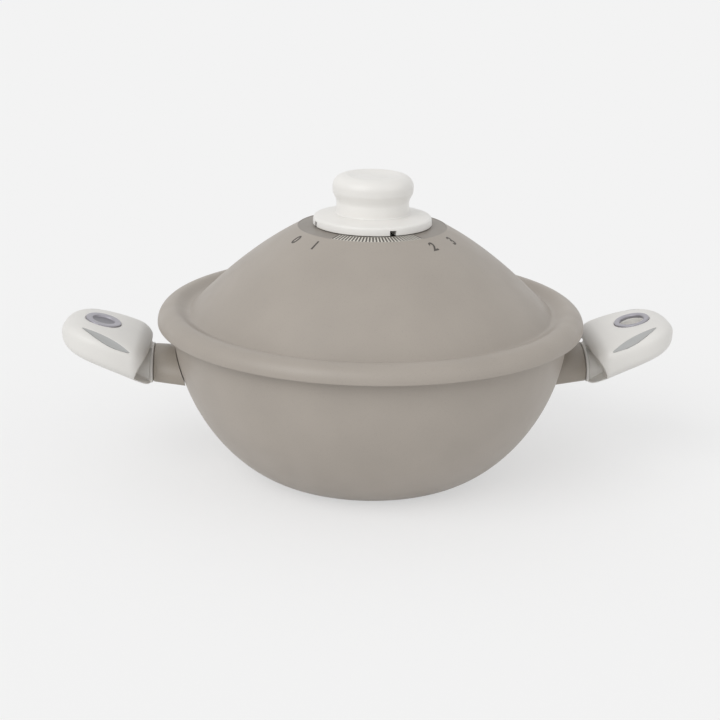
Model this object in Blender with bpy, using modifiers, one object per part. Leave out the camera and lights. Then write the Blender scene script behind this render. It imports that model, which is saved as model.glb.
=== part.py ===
"""A lidded steaming wok: a cast wok with two paddle grips, a steaming tray hung in its rim, and a domed
lid whose knob turns a steam vent. Metres, +Z up, the flat base on z = 0, the grips along the X axis."""

import math

import bmesh
import bpy
from mathutils import Matrix, Vector

# Clearance between pieces that touch, and the chamfer on every screw
FIT = 0.0003
SCREW_CHAMFER = 0.0008

# Wok
BASE_RADIUS = 0.0735
MOUTH_RADIUS = 0.1375
WOK_HEIGHT = 0.1144
WOK_WALL = 0.0035
WOK_FLOOR = 0.006
RIM_WIDTH = 0.0085
RIM_THICKNESS = 0.0031
RIM_ROUNDING = 0.002
BELLY_POWER = 1.41

# Steaming tray
TRAY_SHEET = 0.0015
TRAY_DEPTH = 0.0262
TRAY_SIDE_GAP = 0.0006
TRAY_TAPER = 0.0075
TRAY_WALL_LEAN = 10.0
TRAY_RIM_WIDTH = 0.0056
TRAY_RIM_ROUNDING = 0.003
TRAY_FLOOR_ROUNDING = 0.006
STEAM_HOLE_RADIUS = 0.004
STEAM_RINGS = ((0.070, 12), (0.102, 18))

# Lid
LID_OVERHANG = 0.0055
LID_SHEET = 0.0025
LIP_DROP = 0.007
LIP_EDGE_RISE = 0.0055
CREST_SETBACK = 0.011
CREST_RISE = 0.005
VALLEY_SETBACK = 0.0217
VALLEY_RISE = 0.0009
DOME_FOOT_ROUNDING = 0.017
DOME_CONVEXITY = 0.252
DISC_RADIUS = 0.0525
DISC_FALL = 0.0015
WELL_RADIUS = 0.041
WELL_RISE = 0.0604
WELL_THICKNESS = 0.003
LOCATING_RIB_DEPTH = 0.0024
LOCATING_RIB_WIDTH = 0.007
LOCATING_RIB_GAP = 0.001
SHOULDER_DROP = 0.0015
SHOULDER_SETBACK = 0.0032
SHOULDER_STEP = 0.001

# Steam vent in the floor of the disc's well, and the dial that covers the well
VENT_COUNT = 4
VENT_CIRCLE = 0.028
VENT_RADIUS = 0.0022
NOTCH_WIDTH = 0.0046
NOTCH_HEIGHT = 0.0035
NOTCH_AZIMUTH = math.radians(-74.0)
VENT_TURN = math.radians(45.0)
SEAL_RADIUS = 0.033
SEAL_THICKNESS = 0.0019
DIAL_RADIUS = 0.042
DIAL_EDGE_HEIGHT = 0.0056
DIAL_RISE = 0.002
DIAL_EDGE_ROUNDING = 0.0012
STOP_PIN_RADIUS = 0.0015
STOP_PIN_CIRCLE = 0.0373
STOP_PIN_REACH = 0.002

# Knob on the dial
KNOB_RADIUS = 0.0284
KNOB_NECK_RADIUS = 0.0255
KNOB_HEIGHT = 0.0272
KNOB_BROW_HEIGHT = 0.0197
KNOB_NECK_HEIGHT = 0.005
KNOB_DISH_RADIUS = 0.018
KNOB_DISH_FLAT = 0.011
KNOB_DISH_DEPTH = 0.0008
INSERT_RADIUS = 0.005
INSERT_LENGTH = 0.0164
KNOB_SCREW_RADIUS = 0.0025
KNOB_SCREW_BITE = 0.013
KNOB_SCREW_HEAD_RADIUS = 0.0055
KNOB_SCREW_HEAD_HEIGHT = 0.003
WASHER_RADIUS = 0.009
WASHER_THICKNESS = 0.0012
SPRING_WASHER_RADIUS = 0.008
SPRING_WASHER_SHEET = 0.0006
SPRING_WASHER_RISE = 0.0009

# Handle root: the lug on the wok's wall and the guard over it
ROOT_HEIGHT = 0.0772
LUG_HALF_WIDTH = 0.013
LUG_HALF_HEIGHT = 0.005
GUARD_LENGTH = 0.0177
GUARD_HALF_WIDTH = 0.0235
GUARD_WIDEST_DROP = 0.0021
GUARD_LOWER_HEIGHT = 0.0068
GUARD_UPPER_HEIGHT = 0.0151
GUARD_LOWER_POWER = 5.0
GUARD_UPPER_POWER = 1.8
GUARD_FLARE = 0.2
GUARD_SLOPE = 0.085
GUARD_WALL = 0.0025
GUARD_SEAM = 0.0006

# Grip
FLANGE_THICKNESS = 0.002
FLANGE_MARGIN = 0.0006
GRIP_LENGTH = 0.0629
GRIP_HALF_WIDTH = 0.041
GRIP_SHOULDER_HALF_WIDTH = 0.0262
GRIP_SHOULDER_LENGTH = 0.012
GRIP_ROOT_HALF_HEIGHT = 0.0148
GRIP_TIP_HALF_HEIGHT = 0.0126
GRIP_ROOT_RISE = 0.0043
GRIP_TIP_RISE = 0.0244
GRIP_RISE_POWER = 1.5
GRIP_POWER = 3.5
GRIP_PLAN_POWER = 3.6
GRIP_SIDE_POWER = 7.0
GRIP_CORNER_ROUNDING = 0.0075
GRIP_HEEL_ROUNDING = 0.0115
SCOOP_REACH = 0.0215
SCOOP_RISE = 0.027
SCOOP_SETBACK = 0.0105
SCOOP_DROP = 0.0095
SCOOP_END = 10.0
SCOOP_FLOOR_DROP = 0.0072
SCOOP_CREST_HALF_WIDTH = 0.006
NECK_INSET = 0.0012
NECK_LENGTH = 0.018
EYELET_REACH = 0.0335
EYELET_RADIUS = 0.0125
EYELET_HOLE_RADIUS = 0.0087
EYELET_STRETCH = 1.11
EYELET_DEPTH = 0.0022
EYELET_PROUD = 0.0004
PLATE_BORDER = 0.0022
PLATE_DISH = 0.0006
LEAF_ROOT = (0.0122, 0.0375, 0.0178)
LEAF_MIDDLE = (0.0262, 0.0388, 0.0277)
LEAF_TIP = (0.0459, 0.0229, 0.0318)
LEAF_LEAN = math.radians(38.0)
LEAF_HALF_WIDTH = 0.0032
LEAF_DEPTH = 0.0014
LEAF_THICKNESS = 0.0011
LEAF_COLUMN_REACH = 0.008
HANDLE_SCREW_RADIUS = 0.0025
HANDLE_SCREW_SEAT = 0.0055
HANDLE_SCREW_BITE = 0.010
HANDLE_SCREW_HEAD_RADIUS = 0.0042
HANDLE_SCREW_HEAD_HEIGHT = 0.003
HANDLE_WASHER_THICKNESS = 0.0008
RECESS_MARGIN = 0.0005
RECESS_LENGTH = 0.036

# Facets: even counts of steps, so that every turned piece reaches both axes
SHELL_STEPS = 40
KNOB_STEPS = 32
SMALL_STEPS = 16
HOLE_SIDES = 8
SECTION_POINTS = 24
GRIP_STATIONS = 11
BOWL_STEPS = 10
DOME_STEPS = 9
WAVE_STEPS = 4
BRIM_EDGE_STEPS = 4
ROUNDING_STEPS = 3
KNOB_BROW_STEPS = 5
KNOB_NECK_STEPS = 4
SLOT_STEPS = 8
SCOOP_STEPS = 6
LEAF_STEPS = 7
MERGE = 0.00001
OVERRUN = 0.004

# Places worked out from the sizes above
WALL_RADIUS = MOUTH_RADIUS + WOK_WALL
WALL_HEIGHT = WOK_HEIGHT - RIM_THICKNESS
RIM_RADIUS = MOUTH_RADIUS + RIM_WIDTH
TRAY_WALL_RADIUS = MOUTH_RADIUS - TRAY_SIDE_GAP - TRAY_SHEET
TRAY_RIM_RADIUS = TRAY_WALL_RADIUS + TRAY_RIM_WIDTH
TRAY_TOP = WOK_HEIGHT + FIT + TRAY_SHEET
LID_SEAT = TRAY_TOP + FIT
LID_RADIUS = RIM_RADIUS + LID_OVERHANG
CREST_RADIUS = LID_RADIUS - CREST_SETBACK
CREST_HEIGHT = LID_SEAT + CREST_RISE
VALLEY_RADIUS = LID_RADIUS - VALLEY_SETBACK
VALLEY_HEIGHT = LID_SEAT + VALLEY_RISE
WELL_FLOOR = LID_SEAT + WELL_RISE
DIAL_BOTTOM = WELL_FLOOR + SEAL_THICKNESS + 2 * FIT
DIAL_EDGE_TOP = DIAL_BOTTOM + DIAL_EDGE_HEIGHT
DIAL_TOP = DIAL_EDGE_TOP + DIAL_RISE
KNOB_BOTTOM = DIAL_TOP + FIT


def clear_scene():
    for item in list(bpy.data.objects):
        bpy.data.objects.remove(item, do_unlink=True)


def srgb(red, green, blue):
    """A colour picked by eye on the 0 to 255 scale, as linear values."""
    channels = [value / 255 for value in (red, green, blue)]
    return [v / 12.92 if v <= 0.04045 else ((v + 0.055) / 1.055) ** 2.4 for v in channels]


def make_material(name, colour, roughness, metallic=0.0):
    material = bpy.data.materials.new(name)
    material.use_nodes = True
    shader = material.node_tree.nodes["Principled BSDF"]
    shader.inputs["Base Color"].default_value = (*colour, 1.0)
    shader.inputs["Roughness"].default_value = roughness
    shader.inputs["Metallic"].default_value = metallic
    material.diffuse_color = (*colour, 1.0)
    return material


def make_collection(name):
    collection = bpy.data.collections.new(name)
    bpy.context.scene.collection.children.link(collection)
    return collection


clear_scene()
PARTS = make_collection("lidded_steaming_wok")
CUTTERS = make_collection("cutters")

COATING = make_material("greige_coating", srgb(163, 154, 144), 0.5)
TRAY_COATING = make_material("tray_coating", srgb(158, 148, 137), 0.5)
GRIP_PLASTIC = make_material("off_white_plastic", srgb(226, 225, 221), 0.45)
KNOB_PLASTIC = make_material("white_plastic", srgb(234, 233, 230), 0.4)
INLAY_GREY = make_material("grey_inlay", srgb(186, 188, 187), 0.6)
OVAL_METAL = make_material("grey_oval", srgb(158, 154, 163), 0.35, 0.6)
SILICONE = make_material("grey_silicone", srgb(120, 118, 115), 0.7)
STEEL = make_material("plain_steel", srgb(190, 190, 188), 0.3, 1.0)
BRASS = make_material("brass", srgb(196, 164, 96), 0.35, 1.0)


def add_object(name, mesh, material=None):
    """A finished part when it has a material, and otherwise a cutter that isn't shown."""
    thing = bpy.data.objects.new(name, mesh)
    if material is None:
        thing.hide_render = True
        thing.display_type = "WIRE"
        CUTTERS.objects.link(thing)
    else:
        mesh.materials.append(material)
        PARTS.objects.link(thing)
    return thing


def smooth(mesh):
    mesh.shade_smooth()
    mesh.set_sharp_from_angle(angle=math.radians(35))


def turned(name, profile, material=None, steps=SHELL_STEPS):
    """A profile of (radius, height) points turned about Z: a chain that starts and ends on the axis, or a
    loop that runs down its outer side."""
    points = [(radius, 0.0, height) for radius, height in profile]
    edges = [(i, i + 1) for i in range(len(points) - 1)]
    on_axis = profile[0][0] == 0 and profile[-1][0] == 0
    if not on_axis:
        edges.append((len(points) - 1, 0))
    mesh = bpy.data.meshes.new(name)
    mesh.from_pydata(points, edges, [])
    thing = add_object(name, mesh, material)
    screw = thing.modifiers.new("turn", "SCREW")
    screw.axis = "Z"
    screw.angle = 2 * math.pi
    screw.steps = steps
    screw.render_steps = steps
    screw.use_merge_vertices = True
    screw.merge_threshold = MERGE
    screw.use_smooth_shade = True
    return thing


def lofted(name, rings, material=None):
    """A closed solid through rings of equally many points, with flat ends. A ring drawn in to a point makes
    a pole."""
    mesh = bpy.data.meshes.new(name)
    body = bmesh.new()
    layers = [[body.verts.new(point) for point in ring] for ring in rings]
    for near, far in zip(layers, layers[1:]):
        for i in range(len(near)):
            j = (i + 1) % len(near)
            body.faces.new((near[i], near[j], far[j], far[i]))
    body.faces.new(layers[0])
    body.faces.new(layers[-1])
    bmesh.ops.remove_doubles(body, verts=body.verts, dist=MERGE)
    bmesh.ops.recalc_face_normals(body, faces=body.faces)
    body.to_mesh(mesh)
    body.free()
    smooth(mesh)
    return add_object(name, mesh, material)


def prism(name, outline, low, high, material=None):
    """A flat outline of (x, y) points between two heights."""
    rings = [[(x, y, height) for x, y in outline] for height in (low, high)]
    return lofted(name, rings, material)


def cylinder(name, radius, start, end, sides=HOLE_SIDES):
    """A round cutter from one point to another, turned so that a flat lies on the symmetry plane."""
    mesh = bpy.data.meshes.new(name)
    body = bmesh.new()
    way = Vector(end) - Vector(start)
    turn = way.to_track_quat("Z", "Y").to_matrix().to_4x4() @ Matrix.Rotation(math.pi / sides, 4, "Z")
    middle = (Vector(start) + Vector(end)) / 2
    add_cylinder(body, radius, way.length, sides, Matrix.Translation(middle) @ turn)
    body.to_mesh(mesh)
    body.free()
    return add_object(name, mesh)


def add_cylinder(body, radius, depth, sides, place):
    bmesh.ops.create_cone(
        body, cap_ends=True, segments=sides, radius1=radius, radius2=radius, depth=depth, matrix=place
    )


def upright_holes(name, radius, places, low, high):
    """One cutter for round upright holes at (circle radius, angle) places, a flat of each facing the axis."""
    mesh = bpy.data.meshes.new(name)
    body = bmesh.new()
    for circle, angle in places:
        turn = Matrix.Rotation(angle, 4, "Z")
        spin = Matrix.Rotation(math.pi / HOLE_SIDES, 4, "Z")
        place = turn @ Matrix.Translation((circle, 0, (low + high) / 2)) @ spin
        add_cylinder(body, radius, high - low, HOLE_SIDES, place)
    body.to_mesh(mesh)
    body.free()
    return add_object(name, mesh)


def block(name, low, high, turn=0.0):
    """A box cutter between two corners, turned about Z."""
    mesh = bpy.data.meshes.new(name)
    body = bmesh.new()
    bmesh.ops.create_cube(body, size=1.0)
    size = [b - a for a, b in zip(low, high)]
    middle = [(a + b) / 2 for a, b in zip(low, high)]
    place = Matrix.Rotation(turn, 4, "Z") @ Matrix.Translation(middle) @ Matrix.Diagonal((*size, 1.0))
    bmesh.ops.transform(body, matrix=place, verts=body.verts)
    body.to_mesh(mesh)
    body.free()
    return add_object(name, mesh)


def boolean(target, tool, operation):
    step = target.modifiers.new(tool.name, "BOOLEAN")
    step.operation = operation
    step.solver = "EXACT"
    step.object = tool
    return target


def cut(target, tool):
    return boolean(target, tool, "DIFFERENCE")


def join(target, tool):
    return boolean(target, tool, "UNION")


def keep_inside(target, tool):
    return boolean(target, tool, "INTERSECT")


def arc(centre, radii, start, end, count):
    """Points on an ellipse's arc, angles in degrees from the radial direction towards +Z."""
    points = []
    for i in range(count + 1):
        angle = math.radians(start + (end - start) * i / count)
        points.append((centre[0] + radii[0] * math.cos(angle), centre[1] + radii[1] * math.sin(angle)))
    return points


def below(path, distance):
    """A path moved down along its normals, for the underside of a sheet. The path runs outwards."""
    moved = []
    for i, point in enumerate(path):
        before, after = path[max(i - 1, 0)], path[min(i + 1, len(path) - 1)]
        along = Vector((after[0] - before[0], after[1] - before[1])).normalized()
        moved.append((point[0] + distance * along[1], point[1] - distance * along[0]))
    return moved


def blend(low, high, share):
    return low + (high - low) * share


def section(half_width, lower, upper):
    """A closed section round its widest level, whose lower and upper halves are each (height, power): power
    2 is an ellipse, and a high power nearly a box."""
    points = []
    for i in range(SECTION_POINTS):
        angle = 2 * math.pi * i / SECTION_POINTS
        height, power = upper if math.sin(angle) > 0 else lower
        along = math.copysign(abs(math.cos(angle)) ** (2 / power), math.cos(angle))
        up = math.copysign(abs(math.sin(angle)) ** (2 / power), math.sin(angle))
        points.append((half_width * along, height * up))
    return points


def arch(half_width, inset):
    """The guard's section, with a flat bottom and a high arched top, inside its outline by the inset."""
    lower = GUARD_LOWER_HEIGHT - inset, GUARD_LOWER_POWER
    upper = GUARD_UPPER_HEIGHT - inset, GUARD_UPPER_POWER
    return section(half_width - inset, lower, upper)


# The bowl's wall

def bowl_curve(foot, top):
    """The wall from its foot to its top, both (radius, height): flat at the floor, upright at the rim."""
    points = []
    for i in range(BOWL_STEPS + 1):
        angle = math.pi / 2 * i / BOWL_STEPS
        radius = blend(foot[0], top[0], math.sin(angle) ** BELLY_POWER)
        height = blend(foot[1], top[1], 1 - math.cos(angle))
        points.append((radius, height))
    return points


def wall_radius(height):
    """The bowl's outer radius at a height."""
    angle = math.acos(1 - height / WALL_HEIGHT)
    return blend(BASE_RADIUS, WALL_RADIUS, math.sin(angle) ** BELLY_POWER)


# Handle places, as distances from the wok's axis
ROOT_WALL_RADIUS = wall_radius(ROOT_HEIGHT)
GUARD_END = ROOT_WALL_RADIUS + GUARD_LENGTH
LUG_END = GUARD_END - GUARD_WALL - FIT
FLANGE_START = GUARD_END + FIT
GRIP_START = FLANGE_START + FLANGE_THICKNESS
SCREW_SEAT = GRIP_START + HANDLE_SCREW_SEAT


def make_wok_body():
    outside = [(0.0, WOK_HEIGHT), (RIM_RADIUS, WOK_HEIGHT), (RIM_RADIUS, WALL_HEIGHT)]
    outside += reversed(bowl_curve((BASE_RADIUS, 0.0), (WALL_RADIUS, WALL_HEIGHT)))
    outside.append((0.0, 0.0))
    body = turned("wok_body", outside, COATING)
    for side in (-1, 1):
        join(body, make_lug(side))
    corner = (MOUTH_RADIUS + RIM_ROUNDING, WOK_HEIGHT - RIM_ROUNDING)
    inside = [(0.0, WOK_HEIGHT + OVERRUN), (corner[0], WOK_HEIGHT + OVERRUN)]
    inside += arc(corner, (RIM_ROUNDING, RIM_ROUNDING), 90, 180, ROUNDING_STEPS)
    foot = (BASE_RADIUS - WOK_WALL, WOK_FLOOR)
    inside += reversed(bowl_curve(foot, (MOUTH_RADIUS, WALL_HEIGHT - RIM_ROUNDING)))
    inside.append((0.0, WOK_FLOOR))
    cut(body, turned("bowl_cavity", inside))
    for side in (-1, 1):
        start = (side * (LUG_END - HANDLE_SCREW_BITE - FIT), 0, ROOT_HEIGHT)
        end = (side * (LUG_END + OVERRUN), 0, ROOT_HEIGHT)
        cut(body, cylinder("lug_thread_hole", HANDLE_SCREW_RADIUS + FIT, start, end))
    return body


def make_lug(side):
    """The cast lug, which starts inside the bowl's wall."""
    inner = ROOT_WALL_RADIUS - WOK_WALL - OVERRUN
    ends = sorted((side * inner, side * LUG_END))
    low = (ends[0], -LUG_HALF_WIDTH, ROOT_HEIGHT - LUG_HALF_HEIGHT)
    high = (ends[1], LUG_HALF_WIDTH, ROOT_HEIGHT + LUG_HALF_HEIGHT)
    return block("lug", low, high)


def make_steam_tray():
    floor = TRAY_TOP - TRAY_DEPTH
    floor_radius = TRAY_WALL_RADIUS - TRAY_TAPER
    lower = (floor_radius - TRAY_FLOOR_ROUNDING, floor + TRAY_FLOOR_ROUNDING)
    upper = (TRAY_WALL_RADIUS + TRAY_RIM_ROUNDING, TRAY_TOP - TRAY_RIM_ROUNDING)
    surface = [(0.0, floor)]
    surface += arc(lower, (TRAY_FLOOR_ROUNDING, TRAY_FLOOR_ROUNDING), -90, -TRAY_WALL_LEAN, ROUNDING_STEPS)
    surface += arc(upper, (TRAY_RIM_ROUNDING, TRAY_RIM_ROUNDING), 180 - TRAY_WALL_LEAN, 90, ROUNDING_STEPS)
    surface.append((TRAY_RIM_RADIUS, TRAY_TOP))
    tray = turned("steam_tray", surface + below(surface, TRAY_SHEET)[::-1], TRAY_COATING)
    places = [(circle, 2 * math.pi * i / count) for circle, count in STEAM_RINGS for i in range(count)]
    low, high = floor - TRAY_SHEET - OVERRUN, floor + OVERRUN
    return cut(tray, upright_holes("steam_holes", STEAM_HOLE_RADIUS, places, low, high))


def dome_height(radius):
    """The dome above the valley: a rounded foot, then a slope that eases towards the disc."""
    def rise(share):
        foot = math.hypot(share, DOME_FOOT_ROUNDING) - DOME_FOOT_ROUNDING
        return foot - DOME_CONVEXITY * share**2

    share = (VALLEY_RADIUS - radius) / (VALLEY_RADIUS - DISC_RADIUS)
    top = DIAL_BOTTOM - FIT - DISC_FALL
    return blend(VALLEY_HEIGHT, top, rise(share) / rise(1.0))


def brim_height(radius):
    """The wave between the valley and the crest."""
    share = (radius - VALLEY_RADIUS) / (CREST_RADIUS - VALLEY_RADIUS)
    return blend(VALLEY_HEIGHT, CREST_HEIGHT, (1 - math.cos(math.pi * share)) / 2)


def make_lid_shell():
    hole = KNOB_SCREW_RADIUS + 2 * FIT
    dome = []
    for i in range(DOME_STEPS + 1):
        radius = blend(DISC_RADIUS, VALLEY_RADIUS, math.sin(math.pi / 2 * i / DOME_STEPS))
        dome.append((radius, dome_height(radius)))
    wave = []
    for i in range(1, WAVE_STEPS):
        radius = blend(VALLEY_RADIUS, CREST_RADIUS, i / WAVE_STEPS)
        wave.append((radius, brim_height(radius)))
    edge_low = LID_SEAT - LIP_EDGE_RISE
    edge = arc((CREST_RADIUS, edge_low), (CREST_SETBACK, CREST_HEIGHT - edge_low), 90, 0, BRIM_EDGE_STEPS)
    lip_low = LID_SEAT - LIP_DROP
    outside = [(hole, WELL_FLOOR), (WELL_RADIUS, WELL_FLOOR), (WELL_RADIUS, DIAL_BOTTOM - FIT)]
    outside += dome + wave + edge
    outside.append((LID_RADIUS, lip_low))

    rib_outer = TRAY_WALL_RADIUS - LOCATING_RIB_GAP
    rib_low = LID_SEAT - LOCATING_RIB_DEPTH
    underside = [point for point in below(dome, LID_SHEET) if point[0] < rib_outer - LOCATING_RIB_WIDTH]
    underside += [
        (rib_outer - LOCATING_RIB_WIDTH, rib_low),
        (rib_outer, rib_low),
        (rib_outer + LOCATING_RIB_DEPTH, LID_SEAT),
        (TRAY_RIM_RADIUS + FIT, LID_SEAT),
        (TRAY_RIM_RADIUS + SHOULDER_STEP, CREST_HEIGHT - LID_SHEET),
        (LID_RADIUS - LID_SHEET - SHOULDER_SETBACK, CREST_HEIGHT - LID_SHEET - SHOULDER_DROP),
        (LID_RADIUS - LID_SHEET, edge_low),
        (LID_RADIUS - LID_SHEET, lip_low),
    ]
    underside.insert(0, (WELL_RADIUS + LID_SHEET, WELL_FLOOR - WELL_THICKNESS))
    underside.insert(0, (hole, WELL_FLOOR - WELL_THICKNESS))
    lid = turned("lid_shell", outside + underside[::-1], COATING)
    cut(lid, make_vent_holes("lid_vent_holes"))
    return join(lid, make_stop_pin())


def vent_angle(index):
    """Where the lid's vent holes lie: the dial's notches reach them when the knob is turned open."""
    return NOTCH_AZIMUTH + VENT_TURN + 2 * math.pi * index / VENT_COUNT


def make_vent_holes(name):
    places = [(VENT_CIRCLE, vent_angle(i)) for i in range(VENT_COUNT)]
    low, high = WELL_FLOOR - WELL_THICKNESS - OVERRUN, DIAL_BOTTOM + FIT
    return upright_holes(name, VENT_RADIUS, places, low, high)


def stop_angle():
    """The stop pin's place: the middle of its slot lies between two notches, over a vent hole."""
    return vent_angle(0) - VENT_TURN / 2


def make_stop_pin():
    x, y = STOP_PIN_CIRCLE * math.cos(stop_angle()), STOP_PIN_CIRCLE * math.sin(stop_angle())
    low = WELL_FLOOR - WELL_THICKNESS / 2
    return cylinder("stop_pin", STOP_PIN_RADIUS, (x, y, low), (x, y, DIAL_BOTTOM + STOP_PIN_REACH))


def make_vent_seal():
    hole = KNOB_SCREW_RADIUS + 2 * FIT
    low = WELL_FLOOR + FIT
    high = low + SEAL_THICKNESS
    profile = [(hole, high), (SEAL_RADIUS, high), (SEAL_RADIUS, low), (hole, low)]
    seal = turned("vent_seal", profile, SILICONE, KNOB_STEPS)
    return cut(seal, make_vent_holes("seal_vent_holes"))


def make_vent_dial():
    hole = KNOB_SCREW_RADIUS + FIT
    shoulder = KNOB_NECK_RADIUS + DIAL_EDGE_ROUNDING
    corner = (DIAL_RADIUS - DIAL_EDGE_ROUNDING, DIAL_EDGE_TOP - DIAL_EDGE_ROUNDING)
    profile = [(hole, DIAL_TOP), (shoulder, DIAL_TOP)]
    profile += arc(corner, (DIAL_EDGE_ROUNDING, DIAL_EDGE_ROUNDING), 90, 0, ROUNDING_STEPS)
    profile += [(DIAL_RADIUS, DIAL_BOTTOM), (hole, DIAL_BOTTOM)]
    dial = turned("vent_dial", profile, KNOB_PLASTIC)
    for i in range(VENT_COUNT):
        turn = NOTCH_AZIMUTH + 2 * math.pi * i / VENT_COUNT
        low = (VENT_CIRCLE - VENT_RADIUS, -NOTCH_WIDTH / 2, DIAL_BOTTOM - OVERRUN)
        high = (DIAL_RADIUS + OVERRUN, NOTCH_WIDTH / 2, DIAL_BOTTOM + NOTCH_HEIGHT)
        cut(dial, block("notch", low, high, turn))
    return cut(dial, make_stop_slot())


def make_stop_slot():
    """The slot in the dial's underside that stops it at both ends of its turn, clockwise from above."""
    half_width = STOP_PIN_RADIUS + FIT
    slack = (half_width + FIT) / STOP_PIN_CIRCLE
    start, end = stop_angle() - slack, stop_angle() + VENT_TURN + slack
    inner, outer = STOP_PIN_CIRCLE - half_width, STOP_PIN_CIRCLE + half_width
    angles = [blend(start, end, i / SLOT_STEPS) for i in range(SLOT_STEPS + 1)]
    outline = [(outer * math.cos(a), outer * math.sin(a)) for a in angles]
    outline += [(inner * math.cos(a), inner * math.sin(a)) for a in reversed(angles)]
    return prism("stop_slot", outline, DIAL_BOTTOM - OVERRUN, DIAL_BOTTOM + STOP_PIN_REACH + 2 * FIT)


def make_knob_grip():
    top = KNOB_BOTTOM + KNOB_HEIGHT
    brow = KNOB_BOTTOM + KNOB_BROW_HEIGHT
    shoulder = KNOB_DISH_RADIUS + KNOB_DISH_DEPTH
    profile = [(0.0, top - KNOB_DISH_DEPTH), (KNOB_DISH_FLAT, top - KNOB_DISH_DEPTH)]
    profile += arc((shoulder, brow), (KNOB_RADIUS - shoulder, top - brow), 90, 0, KNOB_BROW_STEPS)
    neck = KNOB_BOTTOM + KNOB_NECK_HEIGHT
    for i in range(1, KNOB_NECK_STEPS + 1):
        share = (1 - math.cos(math.pi * i / KNOB_NECK_STEPS)) / 2
        radius = blend(KNOB_RADIUS, KNOB_NECK_RADIUS, share)
        profile.append((radius, blend(brow, neck, i / KNOB_NECK_STEPS)))
    bore = INSERT_RADIUS + FIT
    profile += [
        (KNOB_NECK_RADIUS, KNOB_BOTTOM),
        (bore, KNOB_BOTTOM),
        (bore, KNOB_BOTTOM + INSERT_LENGTH + FIT),
        (0.0, KNOB_BOTTOM + INSERT_LENGTH + FIT),
    ]
    return turned("knob_grip", profile, KNOB_PLASTIC, KNOB_STEPS)


def ring(name, inner, outer, low, high, material, steps=SMALL_STEPS):
    profile = [(inner, high), (outer, high), (outer, low), (inner, low)]
    return turned(name, profile, material, steps)


def make_knob_fittings():
    bore = KNOB_SCREW_RADIUS + FIT
    ring("knob_insert", bore, INSERT_RADIUS, KNOB_BOTTOM, KNOB_BOTTOM + INSERT_LENGTH, BRASS)
    under = WELL_FLOOR - WELL_THICKNESS - FIT
    spring = [
        (bore, under - SPRING_WASHER_RISE),
        (SPRING_WASHER_RADIUS, under),
        (SPRING_WASHER_RADIUS, under - SPRING_WASHER_SHEET),
        (bore, under - SPRING_WASHER_RISE - SPRING_WASHER_SHEET),
    ]
    turned("knob_spring_washer", spring, STEEL, SMALL_STEPS)
    washer_top = under - SPRING_WASHER_RISE - SPRING_WASHER_SHEET - FIT
    ring("knob_washer", bore, WASHER_RADIUS, washer_top - WASHER_THICKNESS, washer_top, STEEL)
    head = washer_top - WASHER_THICKNESS - FIT
    length = KNOB_BOTTOM + KNOB_SCREW_BITE - head
    profile = screw_profile(KNOB_SCREW_RADIUS, KNOB_SCREW_HEAD_RADIUS, KNOB_SCREW_HEAD_HEIGHT, length)
    screw = turned("knob_screw", profile, STEEL, SMALL_STEPS)
    screw.location = (0, 0, head)


def screw_profile(radius, head_radius, head_height, length):
    """A pan-head screw along Z: the shank runs up from the head's seat at zero."""
    return [
        (0.0, length),
        (radius - SCREW_CHAMFER, length),
        (radius, length - SCREW_CHAMFER),
        (radius, 0.0),
        (head_radius, 0.0),
        (head_radius, SCREW_CHAMFER - head_height),
        (head_radius - SCREW_CHAMFER, -head_height),
        (0.0, -head_height),
    ]


# Handles

def guard_ring(side, distance, inset):
    """The guard's section at a distance from the wok's axis: it flares and drops towards the wall."""
    inward = GUARD_END - distance
    height = ROOT_HEIGHT - GUARD_WIDEST_DROP - GUARD_SLOPE * inward
    outline = arch(GUARD_HALF_WIDTH + GUARD_FLARE * inward, inset)
    return [(side * distance, y, height + z) for y, z in outline]


def make_heat_guard(name, side):
    start = ROOT_WALL_RADIUS - 3 * OVERRUN
    body = lofted(name, [guard_ring(side, at, 0.0) for at in (start, GUARD_END)], COATING)
    hollow = [start - OVERRUN, GUARD_END - GUARD_WALL]
    cut(body, lofted(name + "_hollow", [guard_ring(side, at, GUARD_WALL) for at in hollow]))
    wall = [(0.0, WALL_HEIGHT)]
    wall += reversed(bowl_curve((BASE_RADIUS + GUARD_SEAM, 0.0), (WALL_RADIUS + GUARD_SEAM, WALL_HEIGHT)))
    wall.append((0.0, 0.0))
    cut(body, turned(name + "_wall", wall))
    ends = (side * (LUG_END - OVERRUN), 0, ROOT_HEIGHT), (side * (GUARD_END + OVERRUN), 0, ROOT_HEIGHT)
    return cut(body, cylinder(name + "_hole", HANDLE_SCREW_RADIUS + FIT, *ends))


def flange_ring(side, distance, inset=0.0):
    """The flange's outline, a little proud of the guard, or inside that by an inset."""
    height = ROOT_HEIGHT - GUARD_WIDEST_DROP
    return [(side * distance, y, height + z) for y, z in arch(GUARD_HALF_WIDTH, inset - FLANGE_MARGIN)]


def rounded_end(share, power):
    """Falls from 1 to 0 at the tip, later and rounder the higher the power."""
    return math.sqrt(max(1 - share**power, 0.0))


def grip_half_width(share):
    shoulder = min(share * GRIP_LENGTH / GRIP_SHOULDER_LENGTH, 1.0)
    root = blend(GRIP_SHOULDER_HALF_WIDTH, GRIP_HALF_WIDTH, math.sin(math.pi / 2 * shoulder))
    return root * rounded_end(share, GRIP_PLAN_POWER)


def grip_half_height(share):
    level = blend(GRIP_ROOT_HALF_HEIGHT, GRIP_TIP_HALF_HEIGHT, share)
    return level * rounded_end(share, GRIP_SIDE_POWER)


def grip_middle_height(share):
    rise = blend(GRIP_ROOT_RISE, GRIP_TIP_RISE, 1 - (1 - share) ** GRIP_RISE_POWER)
    return ROOT_HEIGHT + rise


def grown(share, rounding):
    """Grows from 0 to 1 over a rounding behind the flange, steeply at first."""
    return math.sqrt(1 - (1 - min(share * GRIP_LENGTH / rounding, 1.0)) ** 2)


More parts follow.
